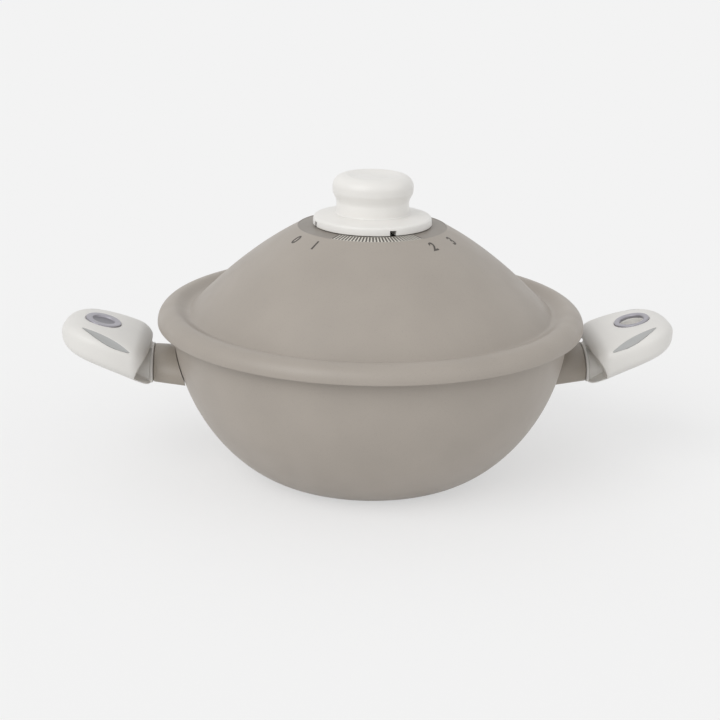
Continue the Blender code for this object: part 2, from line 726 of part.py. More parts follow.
def grip_ring(side, share, inset=0.0):
    """The grip's section at a share of its length: it swells out of the flange, and closes at the tip."""
    wide = grown(share, GRIP_CORNER_ROUNDING)
    tall = grown(share, GRIP_HEEL_ROUNDING)
    half_width = blend(GUARD_HALF_WIDTH + FLANGE_MARGIN, grip_half_width(share), wide)
    low = blend(GUARD_LOWER_HEIGHT + FLANGE_MARGIN, grip_half_height(share), tall)
    high = blend(GUARD_UPPER_HEIGHT + FLANGE_MARGIN, grip_half_height(share), tall)
    lower = max(low - inset, 0.0), blend(GUARD_LOWER_POWER, GRIP_POWER, wide)
    upper = max(high - inset, 0.0), blend(GUARD_UPPER_POWER, GRIP_POWER, wide)
    height = blend(ROOT_HEIGHT - GUARD_WIDEST_DROP, grip_middle_height(share), tall)
    distance = GRIP_START + share * (GRIP_LENGTH - inset)
    outline = section(max(half_width - inset, 0.0), lower, upper)
    return [(side * distance, y, height + z) for y, z in outline]


def grip_rings(side, inset=0.0):
    shares = [(1 - math.cos(math.pi * i / GRIP_STATIONS)) / 2 for i in range(GRIP_STATIONS + 1)]
    return [grip_ring(side, share, inset) for share in shares]


def grip_top(reach):
    """The height of the grip's upper surface on its centre line, at a distance from the flange."""
    share = reach / GRIP_LENGTH
    return grip_middle_height(share) + grip_half_height(share)


def eyelet_frame(side):
    """The oval's place: its centre on the grip's upper surface, its axis square to that surface."""
    slope = math.atan((grip_top(EYELET_REACH + FIT) - grip_top(EYELET_REACH - FIT)) / (2 * FIT))
    centre = Vector((side * (GRIP_START + EYELET_REACH), 0, grip_top(EYELET_REACH)))
    return Matrix.Translation(centre) @ Matrix.Rotation(-side * slope, 4, "Y")


def oval(thing, side):
    """Puts a turned piece on the grip's oval: stretched across the grip, and tilted with its surface."""
    half_step = Matrix.Rotation(math.pi / SECTION_POINTS, 4, "Z")
    thing.matrix_world = eyelet_frame(side) @ Matrix.Diagonal((1.0, EYELET_STRETCH, 1.0, 1.0)) @ half_step
    return thing


def oval_seat(name, has_hole):
    """The seat of the oval in the grip, with the hanging hole under it where there is one."""
    seat = EYELET_RADIUS + FIT
    profile = [(0.0, OVERRUN), (seat, OVERRUN), (seat, -EYELET_DEPTH)]
    if has_hole:
        depth = 3 * GRIP_ROOT_HALF_HEIGHT
        profile += [(EYELET_HOLE_RADIUS, -EYELET_DEPTH), (EYELET_HOLE_RADIUS, -depth), (0.0, -depth)]
    else:
        profile.append((0.0, -EYELET_DEPTH))
    return turned(name, profile, steps=SECTION_POINTS)


def make_scoop(name, side, face):
    """Takes the inner corner off one side of the grip, round the neck behind the flange, and leaves a lip
    along the bottom."""
    centre = (GRIP_START - SCOOP_SETBACK, ROOT_HEIGHT - SCOOP_DROP)
    start = math.degrees(math.acos(SCOOP_SETBACK / SCOOP_REACH))
    outline = arc(centre, (SCOOP_REACH, SCOOP_RISE), start, SCOOP_END, SCOOP_STEPS)
    outline.append((GRIP_START, ROOT_HEIGHT - SCOOP_FLOOR_DROP))
    ends = face * SCOOP_CREST_HALF_WIDTH, face * (GRIP_HALF_WIDTH + OVERRUN)
    scoop = lofted(name, [[(side * x, y, z) for x, z in outline] for y in ends])
    reaches = GRIP_START - OVERRUN, GRIP_START + NECK_LENGTH
    return cut(scoop, lofted(name + "_neck", [flange_ring(side, at, NECK_INSET) for at in reaches]))


def leaf_points(margin):
    """A leaf on the grip's shoulder, from the grip's start: its outline round a curved middle line, and the
    way that it faces."""
    lean = Vector((0, math.sin(LEAF_LEAN), math.cos(LEAF_LEAN)))
    near, far = [], []
    for i in range(LEAF_STEPS + 1):
        share = i / LEAF_STEPS
        root, middle, tip = Vector(LEAF_ROOT), Vector(LEAF_MIDDLE), Vector(LEAF_TIP)
        point = root.lerp(middle, share).lerp(middle.lerp(tip, share), share)
        along = (middle - root).lerp(tip - middle, share)
        across = along.cross(lean).normalized()
        half = LEAF_HALF_WIDTH * math.sin(math.pi * share) + margin
        near.append(point + half * across)
        far.append(point - half * across)
    outline = near + far[::-1] if margin else near + far[-2:0:-1]
    return outline, lean


def leaf_column(name, side, face, margin, material=None):
    """The leaf's outline drawn out along the way that it faces, from inside the grip to outside."""
    outline, lean = leaf_points(margin)
    place = Vector((GRIP_START, 0, ROOT_HEIGHT))
    rings = []
    for reach in (-LEAF_COLUMN_REACH, LEAF_COLUMN_REACH):
        points = [place + point + reach * lean for point in outline]
        rings.append([(side * x, face * y, z) for x, y, z in points])
    return lofted(name, rings, material)


def make_leaf_pocket(name, side, face):
    pocket = leaf_column(name + "_pocket", side, face, FIT)
    return cut(pocket, lofted(name + "_pocket_floor", grip_rings(side, LEAF_DEPTH)))


def make_inlay(name, side, face):
    inlay = leaf_column(name, side, face, 0.0, INLAY_GREY)
    keep_inside(inlay, lofted(name + "_top", grip_rings(side)))
    return cut(inlay, lofted(name + "_floor", grip_rings(side, LEAF_THICKNESS)))


def make_grip(name, side, has_hole):
    grip = lofted(name, [flange_ring(side, FLANGE_START)] + grip_rings(side), GRIP_PLASTIC)
    for face, label in ((-1, "front"), (1, "back")):
        cut(grip, make_scoop(f"{name}_scoop_{label}", side, face))
        cut(grip, make_leaf_pocket(f"{name}_leaf_{label}", side, face))
    cut(grip, oval(oval_seat(name + "_oval_seat", has_hole), side))
    start = (side * (FLANGE_START - OVERRUN), 0, ROOT_HEIGHT)
    seat = (side * SCREW_SEAT, 0, ROOT_HEIGHT)
    past_seat = (side * (SCREW_SEAT + OVERRUN), 0, ROOT_HEIGHT)
    outside = (side * (SCREW_SEAT + RECESS_LENGTH), 0, ROOT_HEIGHT)
    recess_radius = HANDLE_SCREW_HEAD_RADIUS + RECESS_MARGIN
    cut(grip, cylinder(name + "_screw_bore", HANDLE_SCREW_RADIUS + FIT, start, past_seat))
    return cut(grip, cylinder(name + "_screw_recess", recess_radius, seat, outside, SMALL_STEPS))


def make_eyelet(name, side):
    low, high = -EYELET_DEPTH + FIT, EYELET_PROUD
    return oval(ring(name, EYELET_HOLE_RADIUS, EYELET_RADIUS, low, high, OVAL_METAL, SECTION_POINTS), side)


def make_oval_plate(name, side):
    """A plain plate in the place of the eyelet, with a raised border."""
    border = EYELET_RADIUS - PLATE_BORDER
    profile = [
        (0.0, EYELET_PROUD - PLATE_DISH),
        (border - PLATE_DISH, EYELET_PROUD - PLATE_DISH),
        (border, EYELET_PROUD),
        (EYELET_RADIUS, EYELET_PROUD),
        (EYELET_RADIUS, -EYELET_DEPTH + FIT),
        (0.0, -EYELET_DEPTH + FIT),
    ]
    return oval(turned(name, profile, OVAL_METAL, SECTION_POINTS), side)


def along_handle(thing, side, distance):
    """Lays a piece made along +Z on the handle's screw axis, pointing at the wok."""
    turn = Matrix.Rotation(-side * math.pi / 2, 4, "Y")
    thing.matrix_world = Matrix.Translation((side * distance, 0, ROOT_HEIGHT)) @ turn
    return thing


def make_handle_screw(prefix, side):
    bore = HANDLE_SCREW_RADIUS + FIT
    outer, thickness = HANDLE_SCREW_HEAD_RADIUS, HANDLE_WASHER_THICKNESS
    washer = ring(prefix + "_screw_washer", bore, outer, 0.0, thickness, STEEL)
    washer_at = SCREW_SEAT + FIT + thickness
    along_handle(washer, side, washer_at)
    head_at = washer_at + FIT
    length = head_at - (LUG_END - HANDLE_SCREW_BITE)
    profile = screw_profile(HANDLE_SCREW_RADIUS, outer, HANDLE_SCREW_HEAD_HEIGHT, length)
    screw = turned(prefix + "_handle_screw", profile, STEEL, SMALL_STEPS)
    return along_handle(screw, side, head_at)


def make_handles():
    for prefix, side in (("left", -1), ("right", 1)):
        make_heat_guard(prefix + "_heat_guard", side)
        make_grip(prefix + "_grip", side, has_hole=side > 0)
        for face, label in ((-1, "front"), (1, "back")):
            make_inlay(f"{prefix}_inlay_{label}", side, face)
        make_handle_screw(prefix, side)
    make_eyelet("right_hanging_eyelet", 1)
    make_oval_plate("left_oval_plate", -1)


make_wok_body()
make_handles()
make_steam_tray()
make_lid_shell()
make_vent_seal()
make_vent_dial()
make_knob_grip()
make_knob_fittings()
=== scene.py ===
# %% [markdown]
# # A lidded steaming wok, in a plain studio
# The object is a cast wok with two off-white paddle grips, a thin steaming tray that hangs in its
# rim, and a domed lid. A wide dial under the knob covers four steam holes in the lid, so turning the
# knob opens or shuts them.
#
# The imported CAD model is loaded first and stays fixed. Every piece below is built in the same place,
# in metres, and rides on the body that carries it. The CAD solids have few facets, so each one gives
# way to a finer piece that is made from the same sizes. Only the roots of the grips with their scoops
# and the knob's waist and dished top were drawn anew here, after a closer look at the photograph.

# %% Load the frame
import math

import bmesh
import bpy
from mathutils import Matrix, Vector
from mathutils.bvhtree import BVHTree


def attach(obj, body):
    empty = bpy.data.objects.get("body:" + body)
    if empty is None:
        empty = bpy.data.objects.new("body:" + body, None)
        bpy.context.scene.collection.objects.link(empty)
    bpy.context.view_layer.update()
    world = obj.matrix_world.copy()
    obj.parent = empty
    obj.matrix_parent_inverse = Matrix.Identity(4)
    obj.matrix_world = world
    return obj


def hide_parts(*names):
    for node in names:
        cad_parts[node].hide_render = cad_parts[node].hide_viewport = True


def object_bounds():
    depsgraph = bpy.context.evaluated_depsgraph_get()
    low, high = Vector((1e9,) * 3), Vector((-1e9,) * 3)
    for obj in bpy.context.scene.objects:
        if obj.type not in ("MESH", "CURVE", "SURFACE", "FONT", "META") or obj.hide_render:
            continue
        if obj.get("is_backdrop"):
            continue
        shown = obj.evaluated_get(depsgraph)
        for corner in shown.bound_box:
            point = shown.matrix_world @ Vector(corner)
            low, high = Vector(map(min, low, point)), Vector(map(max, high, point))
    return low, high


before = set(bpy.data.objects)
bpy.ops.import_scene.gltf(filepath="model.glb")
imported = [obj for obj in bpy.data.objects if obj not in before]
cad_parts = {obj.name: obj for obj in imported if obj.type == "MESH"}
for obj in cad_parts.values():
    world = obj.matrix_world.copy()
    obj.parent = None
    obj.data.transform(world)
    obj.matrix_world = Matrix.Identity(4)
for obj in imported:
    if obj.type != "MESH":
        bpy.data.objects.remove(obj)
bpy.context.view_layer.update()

# %% [markdown]
# ## The camera
# The photograph looks down on the wok by about 18 degrees, from about a metre, and the wok's handle
# axis is turned by a few degrees. The camera was fitted to the outline and to the ellipses of the lid
# and its disc. It could be aimed with a Track To constraint instead, but a fixed place keeps the
# same picture however the pieces change.

# %% Camera
CAMERA_PLACE = (-0.0070, -1.0, 0.3986)
CAMERA_LOOKS_DOWN = 0.3101
CAMERA_SWING = -0.0626
CAMERA_ROLL = 0.0176
CAMERA_LENS = 72.38

camera_data = bpy.data.cameras.new("camera")
camera_data.lens = CAMERA_LENS
camera_data.sensor_width = 36.0
camera_data.clip_end = 100.0
camera = bpy.data.objects.new("camera", camera_data)
bpy.context.scene.collection.objects.link(camera)
swing = Matrix.Rotation(CAMERA_SWING, 4, "Z")
tilt = Matrix.Rotation(math.pi / 2 - CAMERA_LOOKS_DOWN, 4, "X")
roll = Matrix.Rotation(CAMERA_ROLL, 4, "Z")
camera.matrix_world = swing @ Matrix.Translation(CAMERA_PLACE) @ tilt @ roll
bpy.context.scene.camera = camera
print("camera", round(camera.matrix_world.translation.length, 3), "m from the wok's base")

# %% [markdown]
# ## Light
# Product pictures like this one are lit by large soft boxes, so no shadow has a hard edge. A pale
# world gives the even part. A wide sun from the left and the front makes the left of the lid
# lighter, and a weaker one from the right keeps the other side open. Area lamps would do it too, but
# suns light near and far things alike, which keeps the level easy to reckon: all together a flat
# white floor comes to about 0.9.

# %% Lights and world
WORLD_LIGHT = 0.66
BACKGROUND_LIGHT = 0.896
KEY = {"azimuth": -136.0, "elevation": 38.0, "spread": 45.0, "strength": 1.08}
FILL = {"azimuth": -35.0, "elevation": 30.0, "spread": 60.0, "strength": 0.20}


def add_sun(name, azimuth, elevation, spread, strength):
    lamp = bpy.data.lights.new(name, "SUN")
    lamp.energy = strength
    lamp.angle = math.radians(spread)
    level, turn = math.radians(elevation), math.radians(azimuth)
    flat = math.cos(level)
    towards = Vector((flat * math.cos(turn), flat * math.sin(turn), math.sin(level)))
    sun = bpy.data.objects.new(name, lamp)
    sun.rotation_euler = towards.to_track_quat("Z", "Y").to_euler()
    bpy.context.scene.collection.objects.link(sun)
    return strength * math.sin(level) / math.pi


def add_node(tree, kind, inputs=(), **settings):
    """A shader node: its settings are named, and its inputs are values or sockets to link."""
    made = tree.nodes.new(kind)
    for name, value in settings.items():
        setattr(made, name, value)
    for name, value in dict(inputs).items():
        if isinstance(value, bpy.types.NodeSocket):
            tree.links.new(value, made.inputs[name])
        else:
            made.inputs[name].default_value = value
    return made


def seen_directly(tree):
    """1 where the camera, a mirror or a clear material sees the surface, and 0 for soft light."""
    ray = add_node(tree, "ShaderNodeLightPath").outputs
    kinds = {0: ray["Is Camera Ray"], 1: ray["Is Glossy Ray"]}
    either = add_node(tree, "ShaderNodeMath", kinds, operation="ADD").outputs[0]
    kinds = {0: either, 1: ray["Is Transmission Ray"]}
    return add_node(tree, "ShaderNodeMath", kinds, operation="ADD").outputs[0]


floor_level = WORLD_LIGHT + add_sun("key", **KEY) + add_sun("fill", **FILL)
world = bpy.data.worlds.new("studio")
world.use_nodes = True
bpy.context.scene.world = world
tree = world.node_tree
steps = {"Value": seen_directly(tree), "To Min": WORLD_LIGHT, "To Max": BACKGROUND_LIGHT}
level = add_node(tree, "ShaderNodeMapRange", steps)
tree.links.new(level.outputs["Result"], tree.nodes["Background"].inputs["Strength"])
tree.nodes["Background"].inputs["Color"].default_value = (1.0, 1.0, 1.0, 1.0)
bpy.context.scene.view_settings.view_transform = "Standard"
print("light on the floor:", round(floor_level, 3))

# %% [markdown]
# ## Colours
# A colour picked on a screen is stored on a curve, and shaders want plain light values. The helper
# below turns the 0 to 255 numbers of a colour picker into those, and can make the colour a little
# lighter or darker for the tints of a surface.

# %% Colour helpers
NOISE_RANGE = (0.3, 0.7)


def srgb(red, green, blue, lighter=1.0):
    channels = []
    for value in (red, green, blue):
        share = value / 255
        linear = share / 12.92 if share <= 0.04045 else ((share + 0.055) / 1.055) ** 2.4
        channels.append(min(linear * lighter, 1.0))
    return (*channels, 1.0)


def start_finish(name, roughness, metallic=0.0):
    """A new material with its shader and the place of each point on the object, for patterns."""
    material = bpy.data.materials.new(name)
    material.use_nodes = True
    tree = material.node_tree
    shader = tree.nodes["Principled BSDF"]
    shader.inputs["Roughness"].default_value = roughness
    shader.inputs["Metallic"].default_value = metallic
    place = add_node(tree, "ShaderNodeTexCoord").outputs["Object"]
    return material, tree, shader, place


def noise(tree, place, scale, detail=2.0):
    settings = {"Vector": place, "Scale": scale, "Detail": detail}
    return add_node(tree, "ShaderNodeTexNoise", settings).outputs["Fac"]


def ranged(tree, value, low, high, to_low, to_high):
    settings = {"Value": value, "From Min": low, "From Max": high, "To Min": to_low, "To Max": to_high}
    return add_node(tree, "ShaderNodeMapRange", settings).outputs["Result"]


def mixed(tree, factor, first, second):
    """Colours mixed by a factor: inputs 0, 6 and 7 are the colour sockets of a Mix node."""
    mix = add_node(tree, "ShaderNodeMix", data_type="RGBA")
    for index, value in ((0, factor), (6, first), (7, second)):
        if isinstance(value, bpy.types.NodeSocket):
            tree.links.new(value, mix.inputs[index])
        else:
            mix.inputs[index].default_value = value
    return mix.outputs[2]


def from_axis(tree, place):
    """How far each point lies from the upright axis, and how high."""
    axes = add_node(tree, "ShaderNodeSeparateXYZ", {"Vector": place}).outputs
    flat = add_node(tree, "ShaderNodeCombineXYZ", {"X": axes["X"], "Y": axes["Y"]}).outputs[0]
    reach = add_node(tree, "ShaderNodeVectorMath", {0: flat}, operation="LENGTH").outputs["Value"]
    return reach, axes["Z"]


def roughen(tree, shader, height, strength, distance):
    settings = {"Height": height, "Strength": strength, "Distance": distance}
    bump = add_node(tree, "ShaderNodeBump", settings)
    tree.links.new(bump.outputs["Normal"], shader.inputs["Normal"])


print("a mid grey of 128 is", round(srgb(128, 128, 128)[0], 3), "as light")

# %% [markdown]
# ## The coating
# The cast metal wears a sprayed, satin, grey-beige non-stick coating. Up close such a coating has a
# very fine orange-peel skin and a scatter of slightly darker specks, and over a hand's breadth its
# tone drifts a little. A picture texture would need flat maps of a round bowl. Noise on the object's
# own coordinates needs none, and runs through the rim without a seam.
#
# A radius mask in the same material makes the lid's disc darker than the dome, so the edge between the
# two stays crisp and needs no extra piece.

# %% Coating finish
COATING_ROUGHNESS = 0.44
CLOUD_SCALE = 22.0
CLOUD_TONES = (0.965, 1.035)
SPECK_SCALE = 1500.0
SPECK_RANGE = (0.60, 0.74)
SPECK_STRENGTH = 0.32
SPECK_TONE = 0.72
SHEEN_SCALE = 60.0
SHEEN_ROUGHNESS = (0.40, 0.48)
PEEL_SCALE = 950.0
PEEL_STRENGTH = 0.16
PEEL_DEPTH = 0.00012
DISC_BLUR = 0.0003


def coating(name, colour, disc=None):
    """The satin coating. disc is (radius, lowest height, lightness) of a disc of another tone."""
    material, tree, shader, place = start_finish(name, COATING_ROUGHNESS)
    cloud = ranged(tree, noise(tree, place, CLOUD_SCALE), *NOISE_RANGE, 0.0, 1.0)
    tint = mixed(tree, cloud, *(srgb(*colour, lighter=tone) for tone in CLOUD_TONES))
    specks = ranged(tree, noise(tree, place, SPECK_SCALE, 1.0), *SPECK_RANGE, 0.0, SPECK_STRENGTH)
    tint = mixed(tree, specks, tint, srgb(*colour, lighter=SPECK_TONE))
    if disc:
        radius, lowest, lighter = disc
        reach, height = from_axis(tree, place)
        inside = ranged(tree, reach, radius, radius + DISC_BLUR, 1.0, 0.0)
        above = ranged(tree, height, lowest, lowest + DISC_BLUR, 0.0, 1.0)
        both = add_node(tree, "ShaderNodeMath", {0: inside, 1: above}, operation="MULTIPLY").outputs[0]
        tint = mixed(tree, both, tint, srgb(*colour, lighter=lighter))
    tree.links.new(tint, shader.inputs["Base Color"])
    sheen = ranged(tree, noise(tree, place, SHEEN_SCALE), *NOISE_RANGE, *SHEEN_ROUGHNESS)
    tree.links.new(sheen, shader.inputs["Roughness"])
    roughen(tree, shader, noise(tree, place, PEEL_SCALE), PEEL_STRENGTH, PEEL_DEPTH)
    return material


DISC_RADIUS = 0.0525
DISC_EDGE = 0.1776
DISC_TONE = 0.67
DISC_TONE_LOWEST = DISC_EDGE - 0.0012
wok_coating = coating("wok_coating", (168, 160, 151))
# The sleeves' coating is the wok's with painted shade: a darker tone for the shade that they lie in
# under the lid's brim.
guard_shaded_coating = coating("guard_shaded_coating", (160, 152, 142))
tray_coating = coating("tray_coating", (160, 150, 139))
lid_coating = coating("lid_coating", (166, 158, 149), (DISC_RADIUS, DISC_TONE_LOWEST, DISC_TONE))
print("coatings:", wok_coating.name, tray_coating.name, lid_coating.name)

# %% [markdown]
# ## Plastic, rubber and metal
# The grips and the knob are moulded plastic. The mould's spark-eroded skin shows as a very fine
# grain on the grips, while the knob is smoother and a little shinier. The leaf inlays are matt.
# The ovals are anodised and the screws plain steel, both turned on a lathe, which leaves fine rings
# round the axis. A ring pattern needs the distance from the axis, so the mapping first moves that
# axis to the origin.

# %% Plastic and metal finishes
MOULD_CLOUD_SCALE = 35.0
MOULD_TONES = (0.975, 1.02)
GRAIN_STRENGTH = 0.2
RING_SCALE = 2600.0
METAL_CLOUD_SCALE = 90.0
METAL_TONES = (0.92, 1.06)
DARK_CENTRE_TONE = 0.55
RING_STRENGTH = 0.25
RING_DEPTH = 0.00006


def moulded(name, colour, roughness, grain, depth):
    material, tree, shader, place = start_finish(name, roughness)
    cloud = ranged(tree, noise(tree, place, MOULD_CLOUD_SCALE), *NOISE_RANGE, 0.0, 1.0)
    tint = mixed(tree, cloud, *(srgb(*colour, lighter=tone) for tone in MOULD_TONES))
    tree.links.new(tint, shader.inputs["Base Color"])
    uneven = noise(tree, place, grain / 3)
    sheen = ranged(tree, uneven, *NOISE_RANGE, roughness - 0.04, roughness + 0.05)
    tree.links.new(sheen, shader.inputs["Roughness"])
    roughen(tree, shader, noise(tree, place, grain), GRAIN_STRENGTH, depth)
    return material


def lathed(name, colour, roughness, metallic, axis_place=None, dark_centre=0.0):
    """Metal with fine rings round its axis, which is +Z unless the axis' place is given."""
    material, tree, shader, place = start_finish(name, roughness, metallic)
    if axis_place:
        turned_back = axis_place.inverted()
        settings = {
            "Vector": place,
            "Location": turned_back.to_translation(),
            "Rotation": turned_back.to_euler(),
        }
        place = add_node(tree, "ShaderNodeMapping", settings).outputs["Vector"]
    reach = from_axis(tree, place)[0]
    along = add_node(tree, "ShaderNodeCombineXYZ", {"X": reach}).outputs[0]
    rings = noise(tree, along, RING_SCALE, 3.0)
    cloud = noise(tree, place, METAL_CLOUD_SCALE)
    tint = mixed(tree, cloud, *(srgb(*colour, lighter=tone) for tone in METAL_TONES))
    if dark_centre:
        inside = ranged(tree, reach, dark_centre - 0.0006, dark_centre, 1.0, 0.0)
        tint = mixed(tree, inside, tint, srgb(*colour, lighter=DARK_CENTRE_TONE))
    tree.links.new(tint, shader.inputs["Base Color"])
    sheen = ranged(tree, rings, *NOISE_RANGE, roughness - 0.06, roughness + 0.08)
    tree.links.new(sheen, shader.inputs["Roughness"])
    roughen(tree, shader, rings, RING_STRENGTH, RING_DEPTH)
    return material


grip_plastic = moulded("grip_plastic", (225, 223, 219), 0.42, 2600.0, 0.00004)
knob_plastic = moulded("knob_plastic", (234, 232, 228), 0.34, 3200.0, 0.00002)
inlay_grey = moulded("inlay_grey", (176, 177, 176), 0.6, 2200.0, 0.00005)
silicone = moulded("silicone", (120, 118, 115), 0.62, 1500.0, 0.00005)
dark_print = moulded("dark_print", (76, 71, 66), 0.5, 2500.0, 0.00002)
pale_print = moulded("pale_print", (208, 204, 195), 0.5, 2500.0, 0.00002)
steel = lathed("steel", (190, 190, 188), 0.30, 1.0)
brass = lathed("brass", (196, 164, 96), 0.33, 1.0)
print("steel roughness", steel.node_tree.nodes["Principled BSDF"].inputs["Roughness"].default_value)

# %% [markdown]
# ## The floor
# The wok stands on a seamless pale sweep of paper. A large sheet just under the base does the same,
# and its far edge lies behind the top of the picture. Product pictures lift the paper almost to
# white and keep only a soft shadow. Here part of the paper glows with its own colour where the
# camera or a mirror sees it, which lightens the shadow and leaves the light on the wok alone.

# %% Floor
PAPER_GLOW = 0.55

floor_shape = bmesh.new()
bmesh.ops.create_grid(floor_shape, x_segments=1, y_segments=1, size=20.0)
bmesh.ops.translate(floor_shape, verts=floor_shape.verts, vec=(0.0, 0.0, -0.0002))
floor_mesh = bpy.data.meshes.new("floor")
floor_shape.to_mesh(floor_mesh)
floor_shape.free()
floor = bpy.data.objects.new("floor", floor_mesh)
bpy.context.scene.collection.objects.link(floor)
floor_paper, tree, shader, place = start_finish("floor_paper", 0.9)
paper = (BACKGROUND_LIGHT, BACKGROUND_LIGHT, BACKGROUND_LIGHT, 1.0)
shader.inputs["Base Color"].default_value = paper
shader.inputs["Specular IOR Level"].default_value = 0.0
glow_level = (1 - (1 - PAPER_GLOW) * floor_level) / PAPER_GLOW
glow = add_node(tree, "ShaderNodeEmission", {"Color": paper, "Strength": glow_level}).outputs[0]
share = ranged(tree, seen_directly(tree), 0.0, 1.0, 0.0, PAPER_GLOW)
lifted = add_node(tree, "ShaderNodeMixShader", {0: share, 1: shader.outputs[0], 2: glow}).outputs[0]
tree.links.new(lifted, tree.nodes["Material Output"].inputs["Surface"])
floor_mesh.materials.append(floor_paper)
floor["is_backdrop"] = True
print("floor", [round(side, 1) for side in floor.dimensions])

# %% [markdown]
# ## Turning and lofting
# Nearly everything on a wok is turned, so most pieces start as half a section drawn as a wire in
# bmesh. Corners that are round on the real piece are rounded on the wire with a vertex bevel, and
# spin then turns the wire about the upright axis. The grips and the sleeves behind them aren't round,
# so they are lofted: a ring is extruded from section to section, and each of its points knows its
# share of the way round.

# %% Modelling helpers
TURN_STEPS = 192
SMALL_STEPS = 64
CORNER_SEGMENTS = 5
MERGE = 0.000002


def mended(shape):
    bmesh.ops.remove_doubles(shape, verts=shape.verts, dist=MERGE)
    bmesh.ops.recalc_face_normals(shape, faces=shape.faces)
    return shape


def turned(points, steps=TURN_STEPS):
    """Points are (radius, height), with a third number where the corner is rounded. A wire that starts
    off the axis is closed to a ring first."""
    shape = bmesh.new()
    corners = [shape.verts.new((point[0], 0.0, point[1])) for point in points]
    pairs = list(zip(corners, corners[1:]))
    if points[0][0] > 0:
        pairs.append((corners[-1], corners[0]))
    for pair in pairs:
        shape.edges.new(pair)
    for corner, point in zip(corners, points):
        if len(point) == 3:
            bmesh.ops.bevel(
                shape,
                geom=[corner],
                offset=point[2],
                offset_type="OFFSET",
                segments=CORNER_SEGMENTS,
                profile=0.5,
                affect="VERTICES",
                material=-1,
            )
    wire = shape.verts[:] + shape.edges[:]
    axis = (0.0, 0.0, 1.0)
    whole = 2 * math.pi
    bmesh.ops.spin(shape, geom=wire, cent=(0, 0, 0), axis=axis, angle=whole, steps=steps, use_merge=True)
    return mended(shape)


def lofted(sections, count):
    """A closed skin through sections, each a function from the share of a turn to a place."""
    shape = bmesh.new()
    turn = shape.verts.layers.float.new("turn")
    bmesh.ops.create_circle(shape, segments=count, radius=1.0)
    for vert in shape.verts:
        vert[turn] = (math.atan2(vert.co.y, vert.co.x) / (2 * math.pi)) % 1.0
        vert.co = sections[0](vert[turn])
    ring = shape.edges[:]
    for section in sections[1:]:
        grown = bmesh.ops.extrude_edge_only(shape, edges=ring)["geom"]
        fresh = {item for item in grown if isinstance(item, bmesh.types.BMVert)}
        for vert in fresh:
            vert.co = section(vert[turn])
        edges = [item for item in grown if isinstance(item, bmesh.types.BMEdge)]
        ring = [edge for edge in edges if edge.verts[0] in fresh and edge.verts[1] in fresh]
    bmesh.ops.remove_doubles(shape, verts=shape.verts, dist=MERGE)
    open_edges = [edge for edge in shape.edges if edge.is_boundary]
    bmesh.ops.holes_fill(shape, edges=open_edges, sides=0)
    return mended(shape)


def sector(corners, start, sweep, steps=48):
    """A solid part of a ring: an upright face of (radius, height) corners, turned through an angle."""
    shape = bmesh.new()
    shape.faces.new([shape.verts.new((radius, 0.0, height)) for radius, height in corners])
    bmesh.ops.rotate(shape, verts=shape.verts, cent=(0, 0, 0), matrix=Matrix.Rotation(start, 3, "Z"))
    face = shape.faces[:] + shape.edges[:] + shape.verts[:]
    bmesh.ops.spin(shape, geom=face, cent=(0, 0, 0), axis=(0, 0, 1), angle=sweep, steps=steps)
    return mended(shape)


def rod(radius, start, end, sides=48):
    """A round rod between two points."""
    shape = bmesh.new()
    way = Vector(end) - Vector(start)
    middle = (Vector(start) + Vector(end)) / 2
    place = Matrix.Translation(middle) @ way.to_track_quat("Z", "Y").to_matrix().to_4x4()
    bmesh.ops.create_cone(
        shape,
        cap_ends=True,
        segments=sides,
        radius1=radius,
        radius2=radius,
        depth=way.length,
        matrix=place,
    )
    return shape


def block(low, high, rounding=0.0, place=None):
    """A box between two corners, with its edges rounded."""
    shape = bmesh.new()
    bmesh.ops.create_cube(shape, size=1.0)
    size = [b - a for a, b in zip(low, high)]
    middle = [(a + b) / 2 for a, b in zip(low, high)]
    to_size = Matrix.Translation(middle) @ Matrix.Diagonal((*size, 1.0))
    bmesh.ops.transform(shape, matrix=to_size, verts=shape.verts)
    if rounding:
        edges = shape.edges[:]
        bmesh.ops.bevel(
            shape, geom=edges, offset=rounding, segments=3, profile=0.5, affect="EDGES", material=-1
        )
    if place:
        bmesh.ops.transform(shape, matrix=place, verts=shape.verts)
    return shape


print("a 300 mm lid in", TURN_STEPS, "steps has chords of", round(math.pi * 300 / TURN_STEPS, 1), "mm")

# %% [markdown]
# ## From shape to piece
# Holes and pockets are cut with Boolean modifiers, because on the real pieces they are drilled,
# punched or left by a core in the mould. Each cutter runs on past the surface by an overrun, so that
# no two faces lie on each other. The result is kept as a plain mesh and the cutters are thrown away.
# A finished piece gets smooth shading with sharp corners left sharp, its finish, the body that it
# rides on, and the CAD solids that it stands for.

# %% Piece helpers
OVERRUN = 0.004
SHARP_ANGLE = 32.0


def solid(name, shape):
    mesh = bpy.data.meshes.new(name)
    shape.to_mesh(mesh)
    shape.free()
    thing = bpy.data.objects.new(name, mesh)
    bpy.context.scene.collection.objects.link(thing)
    return thing


def settle(thing):
    """Keeps what the modifiers make as the piece's own mesh."""
    bpy.context.view_layer.update()
    shaped = thing.evaluated_get(bpy.context.evaluated_depsgraph_get())
    mesh = bpy.data.meshes.new_from_object(shaped)
    rough = thing.data
    thing.modifiers.clear()
    thing.data = mesh
    bpy.data.meshes.remove(rough)
    return thing


def carve(thing, shapes, operation="DIFFERENCE"):
    tools = [solid("tool", shape) for shape in shapes]
    for tool in tools:
        step = thing.modifiers.new("carve", "BOOLEAN")
        step.operation = operation
        step.solver = "EXACT"
        step.object = tool
    settle(thing)
    for tool in tools:
        bpy.data.meshes.remove(tool.data)
    return thing


